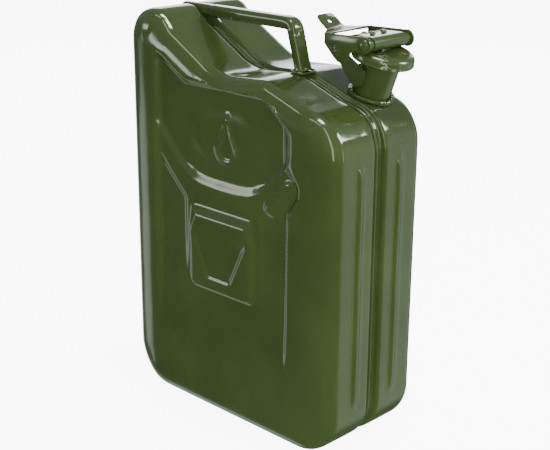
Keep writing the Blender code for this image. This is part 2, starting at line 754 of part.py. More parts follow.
def build_pins():
    head = BRACKET_Y + GAP
    steps = [(-head - 1.4, 3.6), (-head - 1.0, 4.4), (-head, 4.4), (-head, PIN_RADIUS),
             (head, PIN_RADIUS), (head, 4.4), (head + 1.0, 4.4), (head + 1.4, 3.6)]
    add_object("hinge_pin", rod(HINGE, steps), paint("hinge_pin_enamel", OLIVE), shift=SPOUT)
    head = LEVER_CHEEK_Y + GAP
    steps = [(-head - 2.4, 2.4), (-head - 1.6, 4.6), (-head, 5.6), (-head, PIN_RADIUS),
             (head, PIN_RADIUS), (head, 5.0), (head + 1.4, 4.6), (head + 2.2, 2.4)]
    add_object("lever_pin", rod(PIVOT, steps), paint("lever_pin_enamel", OLIVE), PIVOT_POINT, shift=SPOUT)
    low, high = YOKE_HALF + GAP, LEVER_CHEEK_Y - LEVER_SHEET - GAP
    for name, side in (("near_spacer", -1), ("far_spacer", 1)):
        bm = plate(circle(PIVOT, 5.4, 20), [circle(PIVOT, BORE_RADIUS, 20)], side * low, side * high)
        add_object(name, bm, paint(name + "_enamel", OLIVE), PIVOT_POINT, shift=SPOUT)


def build_lever():
    """Bail of two cheeks joined behind by a cross plate with a bent-up tab."""
    front = circle(PIVOT, 7.8, 12, 232.0, 210.0)
    cheek = [(93.5, 401.5), (93.5, 391.5), (97.5, 388.0), (104.0, 381.5), (109.5, 377.2), (114.0, 376.0),
             (120.0, 377.0), (123.2, 380.0), (124.0, 386.0), (126.5, 388.8), (134.0, 389.0)] + front
    cheek += [(134.0, 402.8)]
    inner = LEVER_CHEEK_Y - LEVER_SHEET
    hole = circle(PIVOT, BORE_RADIUS, 16)
    near = plate(cheek, [hole], -LEVER_CHEEK_Y, -inner)
    far = plate(cheek, [hole], inner, LEVER_CHEEK_Y)
    cheeks = join_meshes([near, far])
    lever = add_object("lever", cheeks, paint("lever_enamel", OLIVE), PIVOT_POINT, shift=SPOUT)
    top = bmesh.new()
    half = LEVER_CHEEK_Y - 0.1
    section = [(97.0, half, 401.4), (93.6, half, 401.4), (86.0, 21.0, 401.4), (80.0, 12.5, 401.9),
               (77.0, 12.0, 403.0), (70.0, 12.0, 408.2), (65.5, 11.0, 411.6), (64.2, 8.0, 412.5)]
    rings = []
    for x, y, z in section:
        rings.append([(x, -y, z), (x, -y, z - LEVER_SHEET), (x, y, z - LEVER_SHEET), (x, y, z)])
    loft(top, rings)
    weld_to(lever, as_cutter("top_helper", top))
    hole_bm = bmesh.new()
    centre, radius, reach = Vector((72.3, 0.0, 407.0)), 2.6, Vector((4.8, 0.0, 6.4))
    rings = []
    for end in (centre - reach, centre + reach):
        rings.append([(x, y, end.z) for x, y in circle((end.x, 0.0), radius, 16)])
    loft(hole_bm, rings)
    cut_with(lever, as_cutter("tab_hole_cutter", hole_bm))


def main():
    clear_scene()
    shell_cutter = neck_cutter(NECK_OUTER + GAP)
    build_shell("near_shell", -1, None)
    build_shell("far_shell", 1, shell_cutter)
    build_seam_bead()
    build_handle()
    build_handle_welds()
    build_neck()
    build_neck_weld()
    build_mouth_ring()
    build_breather()
    build_lid()
    build_gasket()
    build_studs()
    build_yoke()
    build_bracket()
    build_pins()
    build_lever()


main()
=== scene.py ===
"""Looks of the ten-litre steel fuel can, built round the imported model.

The can's own lengths are millimetres in its part coordinates, whose X starts
at the body's middle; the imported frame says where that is. Every piece is then
placed in metres in the frame's coordinates.
"""
import math

import bmesh
import bpy
import numpy as np
from mathutils import Matrix, Vector, geometry, noise


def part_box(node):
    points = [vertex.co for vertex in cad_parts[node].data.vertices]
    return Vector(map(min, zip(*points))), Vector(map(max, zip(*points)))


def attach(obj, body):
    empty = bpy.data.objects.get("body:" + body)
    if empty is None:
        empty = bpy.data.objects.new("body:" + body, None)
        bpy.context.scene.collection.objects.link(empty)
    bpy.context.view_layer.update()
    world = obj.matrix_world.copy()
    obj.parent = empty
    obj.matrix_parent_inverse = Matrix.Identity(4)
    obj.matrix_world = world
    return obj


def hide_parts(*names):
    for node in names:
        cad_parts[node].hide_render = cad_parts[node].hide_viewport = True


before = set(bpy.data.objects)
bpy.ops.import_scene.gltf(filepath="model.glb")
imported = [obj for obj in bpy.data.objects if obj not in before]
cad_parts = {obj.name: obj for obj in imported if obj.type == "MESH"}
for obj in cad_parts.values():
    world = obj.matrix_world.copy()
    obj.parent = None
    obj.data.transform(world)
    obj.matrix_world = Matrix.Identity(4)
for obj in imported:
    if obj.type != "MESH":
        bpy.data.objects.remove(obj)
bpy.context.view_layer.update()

MM = 0.001
HALF_LENGTH = 140.0
CAN_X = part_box("near_shell")[0].x / MM + HALF_LENGTH

# ---- shape of the body, in millimetres --------------------------------------
HALF_WIDTH = 66.3
TOP = 403.5
FACE_FILLET = 15.0
# the wide face still curves in towards its rim: depth and width of that curve
CROWN_TOP, CROWN_SIDE = (1.2, 11.0), (3.6, 24.0)
CHANNEL_HALF = 6.4
LIP_RADIUS = 4.0
CHANNEL_DEPTH = 6.0
TOP_CHANNEL_DEPTH = 4.0
HANDLE_POCKET = 13.6
# where the channel grows shallow along the top, and where it is deep for the handle's end
SHALLOW_FROM_Z, SHALLOW_FROM_X = (305.0, 325.0), (-139.0, -132.0)
POCKET_REAR, POCKET_FRONT, POCKET_Z = (-132.0, -123.0), (-86.0, -76.0), (376.0, 384.0)
RIB_Y, RIB_HALF, RIB_RISE = 27.5, 5.5, 2.0
RIB_LOW, RIB_HIGH, RIB_RUNOUT = 44.0, 292.0, 16.0
SHEET = 0.9
GAP = 0.3
OUTLINE = [
    (-HALF_LENGTH, 0.0, 48.0),
    (HALF_LENGTH, 0.0, 44.0),
    (HALF_LENGTH, 327.5, 42.0),
    (95.0, 337.0, -60.0),
    (45.0, 354.5, 40.0),
    (-15.0, 350.5, -70.0),
    (-81.0, 388.0, -50.0),
    (-97.0, TOP, 24.0),
    (-HALF_LENGTH, TOP, 31.0),
]

# neck, mouth and closure, drawn about y = 0 and set on the far half by SPOUT
SPOUT = Vector((-24.8, 31.0, -7.2))
NECK_FOOT, NECK_FOOT_TILT = (124.4, 343.2), 15.0
MOUTH, MOUTH_TILT = (137.5, 380.0), 14.0
NECK_TOP = (136.5, 376.1)
NECK_BELOW = 12.0
NECK_OUTER, NECK_WALL = 17.8, 1.2
FLANGE_RADIUS, MOUTH_RING_HALF = 25.0, 2.5
LID_RADIUS, LID_TOP, LID_SHEET = 29.0, 8.1, 1.2
HINGE = (98.0, 391.0)
PIVOT = (140.5, 395.4)
LEVER_CHEEK_Y, LEVER_SHEET = 31.5, 1.5
BRACKET_Y, BRACKET_SHEET = 21.4, 2.0
YOKE_HALF, KNUCKLE_HALF = 22.7, 18.9
BARREL_RADIUS, KNUCKLE_RADIUS = 6.5, 5.2
PIN_RADIUS, BORE_RADIUS, COLLAR_RADIUS = 3.0, 3.3, 5.4
STUD_X, STUD_Y, STUD_SHANK, STUD_HEAD = 127.5, 8.0, 2.0, 3.2
STRAP_LOW, STRAP_HIGH = 400.1, 401.9
SHEET_EDGE, COLLAR_EDGE = 0.35, 0.4


# ---- small helpers ----------------------------------------------------------
def smooth(edge0, edge1, value):
    """0 below edge0, 1 above edge1, smooth between; numbers or arrays."""
    t = np.clip((value - edge0) / (edge1 - edge0), 0.0, 1.0)
    return t * t * (3.0 - 2.0 * t)


def link_mesh(name, bm, shift=Vector()):
    """Turn a bmesh in part millimetres into an object in the frame's metres."""
    bmesh.ops.translate(bm, verts=bm.verts, vec=shift + Vector((CAN_X, 0.0, 0.0)))
    bmesh.ops.scale(bm, verts=bm.verts, vec=(MM, MM, MM))
    mesh = bpy.data.meshes.new(name)
    bm.to_mesh(mesh)
    bm.free()
    obj = bpy.data.objects.new(name, mesh)
    bpy.context.scene.collection.objects.link(obj)
    return obj


def helper(name, bm, shift=Vector()):
    """A closed shape that a Boolean reads; the caller removes it."""
    bmesh.ops.recalc_face_normals(bm, faces=bm.faces)
    return link_mesh(name, bm, shift)


def combine(obj, other, operation):
    """Boolean of two objects, left as a modifier."""
    boolean = obj.modifiers.new(other.name, "BOOLEAN")
    boolean.operation = operation
    boolean.object = other


def add_piece(name, bm, material, body, replaced=(), sharp=40.0, recalc=True, shift=Vector()):
    """Make a piece that rides on a body."""
    if recalc:
        bmesh.ops.recalc_face_normals(bm, faces=bm.faces)
    obj = link_mesh(name, bm, shift)
    obj.data.shade_smooth()
    obj.data.set_sharp_from_angle(angle=math.radians(sharp))
    obj.data.materials.append(material)
    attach(obj, body)
    if replaced:
        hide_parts(*replaced)
    return obj


def soften(obj, width):
    """Rounded sheet edges, as a press leaves them."""
    bevel = obj.modifiers.new("edge", "BEVEL")
    bevel.width = width * MM
    bevel.segments = 2
    bevel.limit_method = "ANGLE"
    bevel.angle_limit = math.radians(35)


# ---- materials --------------------------------------------------------------
def link(tree, a, b):
    tree.links.new(a, b)


def noise_node(tree, coords, scale, detail=2.0, roughness=0.5):
    node = tree.nodes.new("ShaderNodeTexNoise")
    node.inputs["Scale"].default_value = scale
    node.inputs["Detail"].default_value = detail
    node.inputs["Roughness"].default_value = roughness
    link(tree, coords, node.inputs["Vector"])
    return node.outputs["Fac"]


def remap(tree, value, low, high, to_low=0.0, to_high=1.0):
    node = tree.nodes.new("ShaderNodeMapRange")
    node.inputs["From Min"].default_value = low
    node.inputs["From Max"].default_value = high
    node.inputs["To Min"].default_value = to_low
    node.inputs["To Max"].default_value = to_high
    link(tree, value, node.inputs["Value"])
    return node.outputs["Result"]


def blend_colour(tree, factor, first, second):
    node = tree.nodes.new("ShaderNodeMix")
    node.data_type = "RGBA"
    link(tree, factor, node.inputs["Factor"])
    for socket, value in ((node.inputs[6], first), (node.inputs[7], second)):
        if isinstance(value, tuple):
            socket.default_value = (*value, 1.0)
        else:
            link(tree, value, socket)
    return node.outputs[2]


def maths(tree, operation, a, b):
    node = tree.nodes.new("ShaderNodeMath")
    node.operation = operation
    for socket, value in ((node.inputs[0], a), (node.inputs[1], b)):
        if isinstance(value, (int, float)):
            socket.default_value = value
        else:
            link(tree, value, socket)
    return node.outputs[0]


def bump(tree, height, strength, distance, under=None):
    node = tree.nodes.new("ShaderNodeBump")
    node.inputs["Strength"].default_value = strength
    node.inputs["Distance"].default_value = distance
    link(tree, height, node.inputs["Height"])
    if under is not None:
        link(tree, under, node.inputs["Normal"])
    return node.outputs["Normal"]


def new_material(name):
    """A material, its node tree, its shader and the object's own coordinates."""
    material = bpy.data.materials.new(name)
    material.use_nodes = True
    tree = material.node_tree
    coords = tree.nodes.new("ShaderNodeTexCoord").outputs["Object"]
    return material, tree, tree.nodes["Principled BSDF"], coords


OLIVE_DEEP, OLIVE_LIGHT = (0.0185, 0.0295, 0.0075), (0.0245, 0.0385, 0.0098)
DUST, BARE_METAL = (0.09, 0.10, 0.06), (0.22, 0.21, 0.18)


def enamel(name, gloss=0.10, wear=0.0):
    """Glossy olive enamel: thin orange peel, soft colour drift, chips where worn."""
    material, tree, shader, coords = new_material(name)
    shader.inputs["IOR"].default_value = 1.5
    shader.inputs["Specular IOR Level"].default_value = 0.5
    shader.inputs["Specular Tint"].default_value = (0.95, 1.0, 0.88, 1.0)
    drift = noise_node(tree, coords, 14.0, 3.0)
    colour = blend_colour(tree, remap(tree, drift, 0.3, 0.7), OLIVE_DEEP, OLIVE_LIGHT)
    dust = noise_node(tree, coords, 900.0, 1.0)
    colour = blend_colour(tree, remap(tree, dust, 0.72, 0.80, 0.0, 0.35), colour, DUST)
    smear = noise_node(tree, coords, 32.0, 4.0, 0.6)
    rough = remap(tree, smear, 0.35, 0.75, gloss * 0.8, gloss * 1.6)
    if wear > 0.0:
        chips = noise_node(tree, coords, 420.0, 5.0, 0.65)
        patches = noise_node(tree, coords, 55.0, 2.0)
        where = maths(tree, "MULTIPLY", chips, patches)
        chip = remap(tree, where, 0.40 - wear * 0.1, 0.42 - wear * 0.1)
        colour = blend_colour(tree, chip, colour, BARE_METAL)
        rough = maths(tree, "ADD", rough, maths(tree, "MULTIPLY", chip, 0.25))
        link(tree, maths(tree, "MULTIPLY", chip, 0.7), shader.inputs["Metallic"])
    link(tree, colour, shader.inputs["Base Color"])
    link(tree, rough, shader.inputs["Roughness"])
    peel = noise_node(tree, coords, 420.0, 2.0)
    ripple = noise_node(tree, coords, 45.0, 1.0)
    normal = bump(tree, ripple, 0.25, 0.0006)
    link(tree, bump(tree, peel, 0.10, 0.0001, normal), shader.inputs["Normal"])
    return material


def rubber():
    """Matt black rubber with a fine grain."""
    material, tree, shader, coords = new_material("gasket_rubber")
    grain = noise_node(tree, coords, 700.0, 3.0)
    colour = blend_colour(tree, grain, (0.012, 0.012, 0.012), (0.03, 0.03, 0.028))
    link(tree, colour, shader.inputs["Base Color"])
    link(tree, remap(tree, grain, 0.3, 0.7, 0.5, 0.8), shader.inputs["Roughness"])
    link(tree, bump(tree, grain, 0.3, 0.0002), shader.inputs["Normal"])
    return material


def tube_steel():
    """Drawn steel, faintly streaked and tarnished."""
    material, tree, shader, coords = new_material("drawn_steel")
    shader.inputs["Metallic"].default_value = 1.0
    stain = noise_node(tree, coords, 90.0, 4.0)
    colour = blend_colour(tree, stain, (0.30, 0.28, 0.24), (0.5, 0.49, 0.46))
    link(tree, colour, shader.inputs["Base Color"])
    link(tree, remap(tree, stain, 0.3, 0.7, 0.28, 0.5), shader.inputs["Roughness"])
    fine = noise_node(tree, coords, 900.0, 2.0)
    link(tree, bump(tree, fine, 0.1, 0.0001), shader.inputs["Normal"])
    return material


# ---- the body's outline -----------------------------------------------------
def rounded_path(corners, arc_step, straight_step):
    """Points and outward normals round a closed polygon with rounded corners."""
    count = len(corners)
    arcs = []
    for i, (x, z, radius) in enumerate(corners):
        here = Vector((x, z))
        before = Vector(corners[i - 1][:2])
        after = Vector(corners[(i + 1) % count][:2])
        come, go = (here - before).normalized(), (after - here).normalized()
        turn = come.angle_signed(go)
        reach = abs(radius) * math.tan(abs(turn) / 2)
        side = -1.0 if turn > 0 else 1.0
        start = here - come * reach
        left = Vector((-come.y, come.x))
        centre = start + left * side * abs(radius)
        arcs.append((start, centre, side * abs(turn), side, here + go * reach))
    points = []
    for i, (start, centre, turn, side, end) in enumerate(arcs):
        steps = max(1, math.ceil(abs(turn) / arc_step - 1e-6))
        for k in range(steps + 1):
            arm = Matrix.Rotation(turn * k / steps, 2) @ (start - centre)
            points.append((centre + arm, arm.normalized() * side))
        run = arcs[(i + 1) % count][0] - end
        pieces = max(1, math.ceil(run.length / straight_step - 1e-6))
        normal = Vector((run.y, -run.x)).normalized()
        for k in range(1, pieces):
            points.append((end + run * k / pieces, normal))
    return points


def channel_depth(point):
    """How far the seam lies under the side wall there."""
    x, z = point
    if z < SHALLOW_FROM_Z[0]:
        return CHANNEL_DEPTH
    on_top = smooth(*SHALLOW_FROM_Z, z) * smooth(*SHALLOW_FROM_X, x)
    depth = CHANNEL_DEPTH + (TOP_CHANNEL_DEPTH - CHANNEL_DEPTH) * on_top
    pocket = smooth(*POCKET_REAR, x) * (1.0 - smooth(*POCKET_FRONT, x)) * smooth(*POCKET_Z, z)
    return float(depth + (HANDLE_POCKET - depth) * pocket)


def rib_rise(point, normal, y):
    """How far the two upright ribs stand out of the front wall."""
    if normal.x < 0.99:
        return 0.0
    along = smooth(RIB_LOW, RIB_LOW + RIB_RUNOUT, point.y)
    along *= 1.0 - smooth(RIB_HIGH - RIB_RUNOUT, RIB_HIGH, point.y)
    across = max(0.0, 1.0 - ((abs(y) - RIB_Y) / RIB_HALF) ** 2)
    return float(RIB_RISE * along * across * (0.4 + 0.6 * across))


# ---- pressed figure of a wide face ------------------------------------------
PANEL_LEFT, PANEL_RIGHT, PANEL_LOW = -99.0, 92.0, 66.0
PANEL_TOP = 366.0
REAR_DROP, FRONT_DROP = 22.0, 28.0    # the panel's top follows the valley and the shoulder down
PANEL_RECESS, UPPER_RECESS, SIDE_RECESS = 3.4, 3.2, 1.6
PANEL_EDGE = 6.0
ARM_FOOT, ARM_SLOPE, ARM_WIDE = 236.0, 1.02, 42.0    # underside of the upper field
ELBOW = 11.0
CROSS_X = -3.0
BULGE, BULGE_Z, BULGE_SIZE = 8.0, 262.0, 15.0    # the panel's front edge goes round the arm's end
BADGE_LEFT, BADGE_RIGHT, BADGE_LOW, BADGE_HIGH = -50.0, 43.0, 133.0, 222.0
BADGE_CORNER = 9.0
BADGE_RISE, SWELL_RISE, PAD_RISE = 5.0, 1.2, 2.2
DISH_X, DISH_DEPTH, DISH_LOW, DISH_HALF, DISH_FLARE = -6.0, 1.8, 150.0, 14.0, 0.48
PAD_FROM, PAD_TO = (64.0, 238.0), (86.0, 260.0)
MARK = (2.0, 289.0)
DROP_SIZE, DROP_LINE, DROP_RISE = 14.0, 2.6, 1.6
SWELL, SWELL_HALF = (2.0, 288.0), (60.0, 35.0)


def face_height(x, z):
    """How far a wide face stands out (+) or is pressed in (-); arrays."""
    top = PANEL_TOP - REAR_DROP * smooth(-99.0, -48.0, x) - FRONT_DROP * smooth(45.0, 95.0, x)
    right = PANEL_RIGHT + BULGE * np.exp(-((z - BULGE_Z) / BULGE_SIZE) ** 2)
    right = right - PANEL_EDGE * smooth(255.0, 230.0, z)
    right_ramp = 4.0 + 15.0 * smooth(BULGE_Z, 285.0, z)
    inside = smooth(PANEL_LEFT, PANEL_LEFT + PANEL_EDGE, x)
    inside = inside * (1.0 - smooth(right - right_ramp, right, x))
    inside = inside * (1.0 - smooth(top - 8.0, top, z))
    panel = inside * smooth(PANEL_LOW, PANEL_LOW + 75.0, z)
    height = -PANEL_RECESS * panel
    off = np.abs(x - CROSS_X)
    past = off - ARM_WIDE
    arm = ARM_FOOT + ARM_SLOPE * 0.5 * (past + np.sqrt(past ** 2 + ELBOW ** 2))
    ramp = 16.0 - 8.0 * smooth(ARM_WIDE, ARM_WIDE + 16.0, off)
    height = height - UPPER_RECESS * smooth(arm, arm + ramp, z) * inside
    beside = smooth(50.0, 56.0, off) * (1.0 - smooth(arm - 30.0, arm - 22.0, z))
    height = height - SIDE_RECESS * beside * smooth(130.0, 190.0, z) * inside
    swell = np.hypot((x - SWELL[0]) / SWELL_HALF[0], (z - SWELL[1]) / SWELL_HALF[1])
    height = height + SWELL_RISE * (1.0 - smooth(0.55, 1.0, swell))
    return height + badge(x, z) + arm_end(x, z) + emblem(x, z)


def badge(x, z):
    """Raised rectangle with a dish that narrows downwards."""
    mid_x, mid_z = (BADGE_LEFT + BADGE_RIGHT) / 2, (BADGE_LOW + BADGE_HIGH) / 2
    over_x = np.abs(x - mid_x) - (BADGE_RIGHT - BADGE_LEFT) / 2 + BADGE_CORNER
    over_z = np.abs(z - mid_z) - (BADGE_HIGH - BADGE_LOW) / 2 + BADGE_CORNER
    outside = np.hypot(np.maximum(over_x, 0.0), np.maximum(over_z, 0.0))
    outside = outside + np.minimum(np.maximum(over_x, over_z), 0.0)
    inward = BADGE_CORNER - outside
    ramp = 5.5 + 9.0 * smooth(BADGE_HIGH - 28.0, BADGE_HIGH - 10.0, z)
    plateau = smooth(0.0, ramp, inward)
    half = DISH_HALF + (z - DISH_LOW) * DISH_FLARE
    dish = 1.0 - smooth(half, half + 5.0, np.abs(x - DISH_X))
    dish = dish * smooth(146.0, 151.0, z) * (1.0 - smooth(187.0, 197.0, z))
    return BADGE_RISE * plateau - DISH_DEPTH * dish


def arm_end(x, z):
    """Rounded pad at the end of the cross's front upper arm."""
    side = np.where(x > 0.0, 1.0, 0.0)
    a = np.array(PAD_FROM)
    run = np.array(PAD_TO) - a
    t = np.clip(((x - a[0]) * run[0] + (z - a[1]) * run[1]) / (run @ run), 0.0, 1.0)
    away = np.hypot(x - a[0] - run[0] * t, z - a[1] - run[1] * t)
    return PAD_RISE * side * (1.0 - smooth(5.0, 11.0, away))


def emblem(x, z):
    """A plain raised fuel drop in outline, where a capacity mark would be."""
    dx, dz = x - MARK[0], z - MARK[1] + 6.0
    stretch = np.where(dz > 0.0, 1.0 + dz / 15.0, 1.0)
    radius = np.hypot(dx * stretch, np.where(dz > 0.0, dz * 0.5, dz))
    return DROP_RISE * np.exp(-((radius - DROP_SIZE) / DROP_LINE) ** 2)


def waviness(x, y, z, size, scale):
    """Slow unevenness of thin pressed sheet."""
    return size * noise.noise(Vector((x / scale, y / scale + 3.1, z / scale)))


# ---- half shells ------------------------------------------------------------
ARC_STEP = math.radians(4.0)
STRAIGHT_STEP = 5.0
FACE_STEP = 2.4
LIP_STEPS, FILLET_STEPS, RIB_STEPS = 8, 16, 9
LIP_DROP = 1.2           # the lip's rounding starts this far over the channel's floor
SIDE_WAVE, FACE_WAVE = (0.4, 45.0), (0.45, 60.0)     # unevenness of the sheet: size, scale


def crown_at(normal):
    """Depth and width of the face's inward curve near this stretch of its rim."""
    share = float(smooth(0.3, 0.95, abs(normal.x)))
    return [top + (side - top) * share for top, side in zip(CROWN_TOP, CROWN_SIDE)]


def side_profile(point, normal):
    """Inset from the outline and distance from the seam plane, seam to face."""
    depth = channel_depth(point)
    rows = [(depth, 0.9), (depth, 3.6), (depth, CHANNEL_HALF - 1.4)]
    rows.append((depth - 0.4, CHANNEL_HALF - 0.6))
    lip_top = CHANNEL_HALF + LIP_RADIUS
    wall = depth - LIP_DROP
    start = math.asin(min(1.0, max(0.0, 1.0 - wall / LIP_RADIUS)))
    if wall > LIP_RADIUS:
        rows.append((LIP_RADIUS + (wall - LIP_RADIUS) * 0.6, CHANNEL_HALF - 0.1))
    else:
        lean = LIP_RADIUS * (1.0 - math.cos(start)) * 0.8
        rows.append((depth - 0.9, CHANNEL_HALF - 0.3 + lean))
    for k in range(LIP_STEPS + 1):
        a = start + (math.pi / 2 - start) * k / LIP_STEPS
        rows.append((LIP_RADIUS * (1.0 - math.sin(a)), lip_top - LIP_RADIUS * math.cos(a)))
    crown, reach = crown_at(normal)
    sweep = math.pi / 2 - math.atan(2.0 * crown / reach)
    flat_end = HALF_WIDTH - crown - FACE_FILLET * math.sin(sweep)
    rows.append((0.0, 17.0))
    for k in range(RIB_STEPS + 1):
        y = RIB_Y - RIB_HALF + 2 * RIB_HALF * k / RIB_STEPS
        rows.append((-rib_rise(point, normal, y), y))
    rows.append((0.0, 38.5))
    for k in range(FILLET_STEPS + 1):
        a = sweep * k / FILLET_STEPS
        rows.append((FACE_FILLET * (1.0 - math.cos(a)), flat_end + FACE_FILLET * math.sin(a)))
    return rows


def inside_border(points, border):
    """Which points lie inside the border, their distance to it and its nearest point."""
    a = border
    b = np.roll(border, 1, axis=0)
    px, pz = points[:, 0:1], points[:, 1:2]
    straddle = (a[:, 1] > pz) != (b[:, 1] > pz)
    rise = np.where(b[:, 1] == a[:, 1], 1.0, b[:, 1] - a[:, 1])
    cross_x = (b[:, 0] - a[:, 0]) * (pz - a[:, 1]) / rise + a[:, 0]
    hits = (straddle & (px < cross_x)).sum(axis=1)
    run = b - a
    length = (run ** 2).sum(axis=1)
    t = np.clip(((px - a[:, 0]) * run[:, 0] + (pz - a[:, 1]) * run[:, 1]) / length, 0.0, 1.0)
    gaps = np.hypot(px - (a[:, 0] + run[:, 0] * t), pz - (a[:, 1] + run[:, 1] * t))
    return hits % 2 == 1, gaps.min(axis=1), gaps.argmin(axis=1)


def face_points(border, step):
    """Staggered points that fill the border."""
    low, high = border.min(axis=0), border.max(axis=0)
    found = []
    row, z = 0, low[1] + step / 2
    while z < high[1]:
        x = np.arange(low[0] + (step / 2 if row % 2 else step), high[0], step)
        found.append(np.stack([x, np.full_like(x, z)], axis=1))
        z += step * 0.87
        row += 1
    points = np.concatenate(found)
    within, gap, _ = inside_border(points, border)
    return points[within & (gap > step * 0.5)]


def build_shell_mesh():
    """The near half as one open surface; the far half mirrors it."""
    path = rounded_path(OUTLINE, ARC_STEP, STRAIGHT_STEP)
    bm = bmesh.new()
    rings = []
    for point, normal in path:
        column = []
        for inset, y in side_profile(point, normal):
            spot = point - normal * inset
            push = waviness(spot.x, y, spot.y, *SIDE_WAVE) if y > 14.0 else 0.0
            spot = spot + normal * push * float(smooth(14.0, 22.0, y) * (1.0 - smooth(50.0, 60.0, y)))
            column.append(bm.verts.new((spot.x, -y, spot.y)))
        rings.append(column)
    count = len(rings)
    for i in range(count):
        a, b = rings[i], rings[(i + 1) % count]
        for k in range(len(a) - 1):
            bm.faces.new((a[k], b[k], b[k + 1], a[k + 1]))
    rim = [ring[-1] for ring in rings]
    border = np.array([(v.co.x, v.co.z) for v in rim])
    inner = face_points(border, FACE_STEP)
    edges = [(i, (i + 1) % count) for i in range(count)]
    flat = [Vector(p) for p in border] + [Vector(p) for p in inner]
    cells = geometry.delaunay_2d_cdt(flat, edges, [], 1, 1e-4)
    placed = np.array([tuple(p) for p in cells[0][count:]])
    heights = face_height(placed[:, 0], placed[:, 1])
    _, from_rim, nearest = inside_border(placed, border)
    near_rim = smooth(0.0, 16.0, from_rim)
    crowns = np.array([crown_at(normal) for _, normal in path])[nearest]
    heights -= crowns[:, 0] * (1.0 - np.clip(from_rim / crowns[:, 1], 0.0, 1.0)) ** 2
    made = list(rim)
    for (x, z), height, share in zip(placed, heights, near_rim):
        height += share * waviness(x, 0.0, z, *FACE_WAVE)
        made.append(bm.verts.new((x, -HALF_WIDTH - height, z)))
    for tri in cells[2]:
        bm.faces.new([made[i] for i in tri])
    return bm


def neck_plug():
    """Cylinder along the neck, which opens the shell under it."""
    bm = bmesh.new()
    turn = Vector((0, 0, 1)).rotation_difference(neck_axis()).to_matrix().to_4x4()
    middle = Vector((NECK_FOOT[0], 0.0, NECK_FOOT[1]))
    radius = NECK_OUTER + GAP
    bmesh.ops.create_cone(bm, cap_ends=True, segments=64, radius1=radius, radius2=radius,
                          depth=60.0, matrix=Matrix.Translation(middle) @ turn)
    return helper("neck_plug", bm, SPOUT)


def apply_modifiers(obj):
    """Keep the mesh that the modifiers make, and drop them."""
    graph = bpy.context.evaluated_depsgraph_get()
    mesh = bpy.data.meshes.new_from_object(obj.evaluated_get(graph))
    obj.modifiers.clear()
    obj.data = mesh
    mesh.shade_smooth()
    mesh.set_sharp_from_angle(angle=math.radians(40))


def build_shells():
    """Both pressed halves; the neck opens the far one."""
    near = build_shell_mesh()
    far = near.copy()
    bmesh.ops.scale(far, verts=far.verts, vec=(1.0, -1.0, 1.0))
    bmesh.ops.reverse_faces(far, faces=far.faces)
    for name, bm in (("near_shell", near), ("far_shell", far)):
        shell = add_piece(name + "_pressing", bm, BODY_ENAMEL, "root", (name,),
                          recalc=False)
        thick = shell.modifiers.new("sheet", "SOLIDIFY")
        thick.thickness = SHEET * MM
        thick.offset = -1.0
        if name == "far_shell":
            plug = neck_plug()
            combine(shell, plug, "DIFFERENCE")
            apply_modifiers(shell)
            bpy.data.objects.remove(plug)
        else:
            apply_modifiers(shell)


# ---- general builders -------------------------------------------------------
def bridge(bm, a, b):
    for k in range(len(a)):
        bm.faces.new((a[k], a[k - 1], b[k - 1], b[k]))


def loft(bm, rings, closed=False, caps=True):
    rows = [[bm.verts.new(p) for p in ring] for ring in rings]
    for a, b in zip(rows, rows[1:]):
        bridge(bm, a, b)
    if closed:
        bridge(bm, rows[-1], rows[0])
    elif caps:
        bm.faces.new(rows[0])
        bm.faces.new(rows[-1][::-1])
    return rows


def circle(centre, radius, count=48, start=0.0, sweep=360.0):
    steps = count if sweep == 360.0 else count - 1
    found = []
    for k in range(count):
        a = math.radians(start + sweep * k / steps)
        found.append((centre[0] + radius * math.cos(a), centre[1] + radius * math.sin(a)))
    return found


def plate(outer, holes, y_low, y_high):
    """A flat plate standing in XZ, with holes, between two Y planes."""
    bm = bmesh.new()
    edges = []
    for ring in [outer] + holes:
        verts = [bm.verts.new((x, y_low, z)) for x, z in ring]
        edges += [bm.edges.new((verts[i - 1], verts[i])) for i in range(len(verts))]
    filled = bmesh.ops.triangle_fill(bm, use_beauty=True, edges=edges)
    faces = [f for f in filled["geom"] if isinstance(f, bmesh.types.BMFace)]
    grown = bmesh.ops.extrude_face_region(bm, geom=faces)
    moved = [v for v in grown["geom"] if isinstance(v, bmesh.types.BMVert)]
    bmesh.ops.translate(bm, verts=moved, vec=(0.0, y_high - y_low, 0.0))
    return bm


def join_meshes(parts):
    bm = bmesh.new()
    for part in parts:
        scratch = bpy.data.meshes.new("scratch")
        bmesh.ops.recalc_face_normals(part, faces=part.faces)
        part.to_mesh(scratch)
        part.free()
        bm.from_mesh(scratch)
        bpy.data.meshes.remove(scratch)
    return bm


def tilted(centre, tilt, radius, angle, rise=0.0):
    """Point on a circle whose axis leans tilt degrees from +Z towards +X."""
    a, t = math.radians(angle), math.radians(tilt)
    along, up = Vector((math.cos(t), 0.0, -math.sin(t))), Vector((math.sin(t), 0.0, math.cos(t)))
    spot = Vector((centre[0], 0.0, centre[1])) + up * rise
    return spot + along * radius * math.cos(a) + Vector((0.0, radius * math.sin(a), 0.0))


def ring_of(centre, tilt, radius, rise=0.0, count=72):
    return [tilted(centre, tilt, radius, 360.0 * k / count, rise) for k in range(count)]


def turned(profile, closed, centre=MOUTH, tilt=MOUTH_TILT):
    """Revolve a profile of (radius, rise) about a leaning axis."""
    bm = bmesh.new()
    loft(bm, [ring_of(centre, tilt, r, s) for r, s in profile], closed=closed)
    return bm


def arc(centre, radius, start, end, steps):
    """Points of an arc in a (radius, rise) profile, angles in degrees."""
    found = []
    for k in range(steps + 1):
        a = math.radians(start + (end - start) * k / steps)
        found.append((centre[0] + radius * math.cos(a), centre[1] + radius * math.sin(a)))
    return found


def neck_axis():
    run = Vector((NECK_TOP[0] - NECK_FOOT[0], 0.0, NECK_TOP[1] - NECK_FOOT[1]))
    return run.normalized()


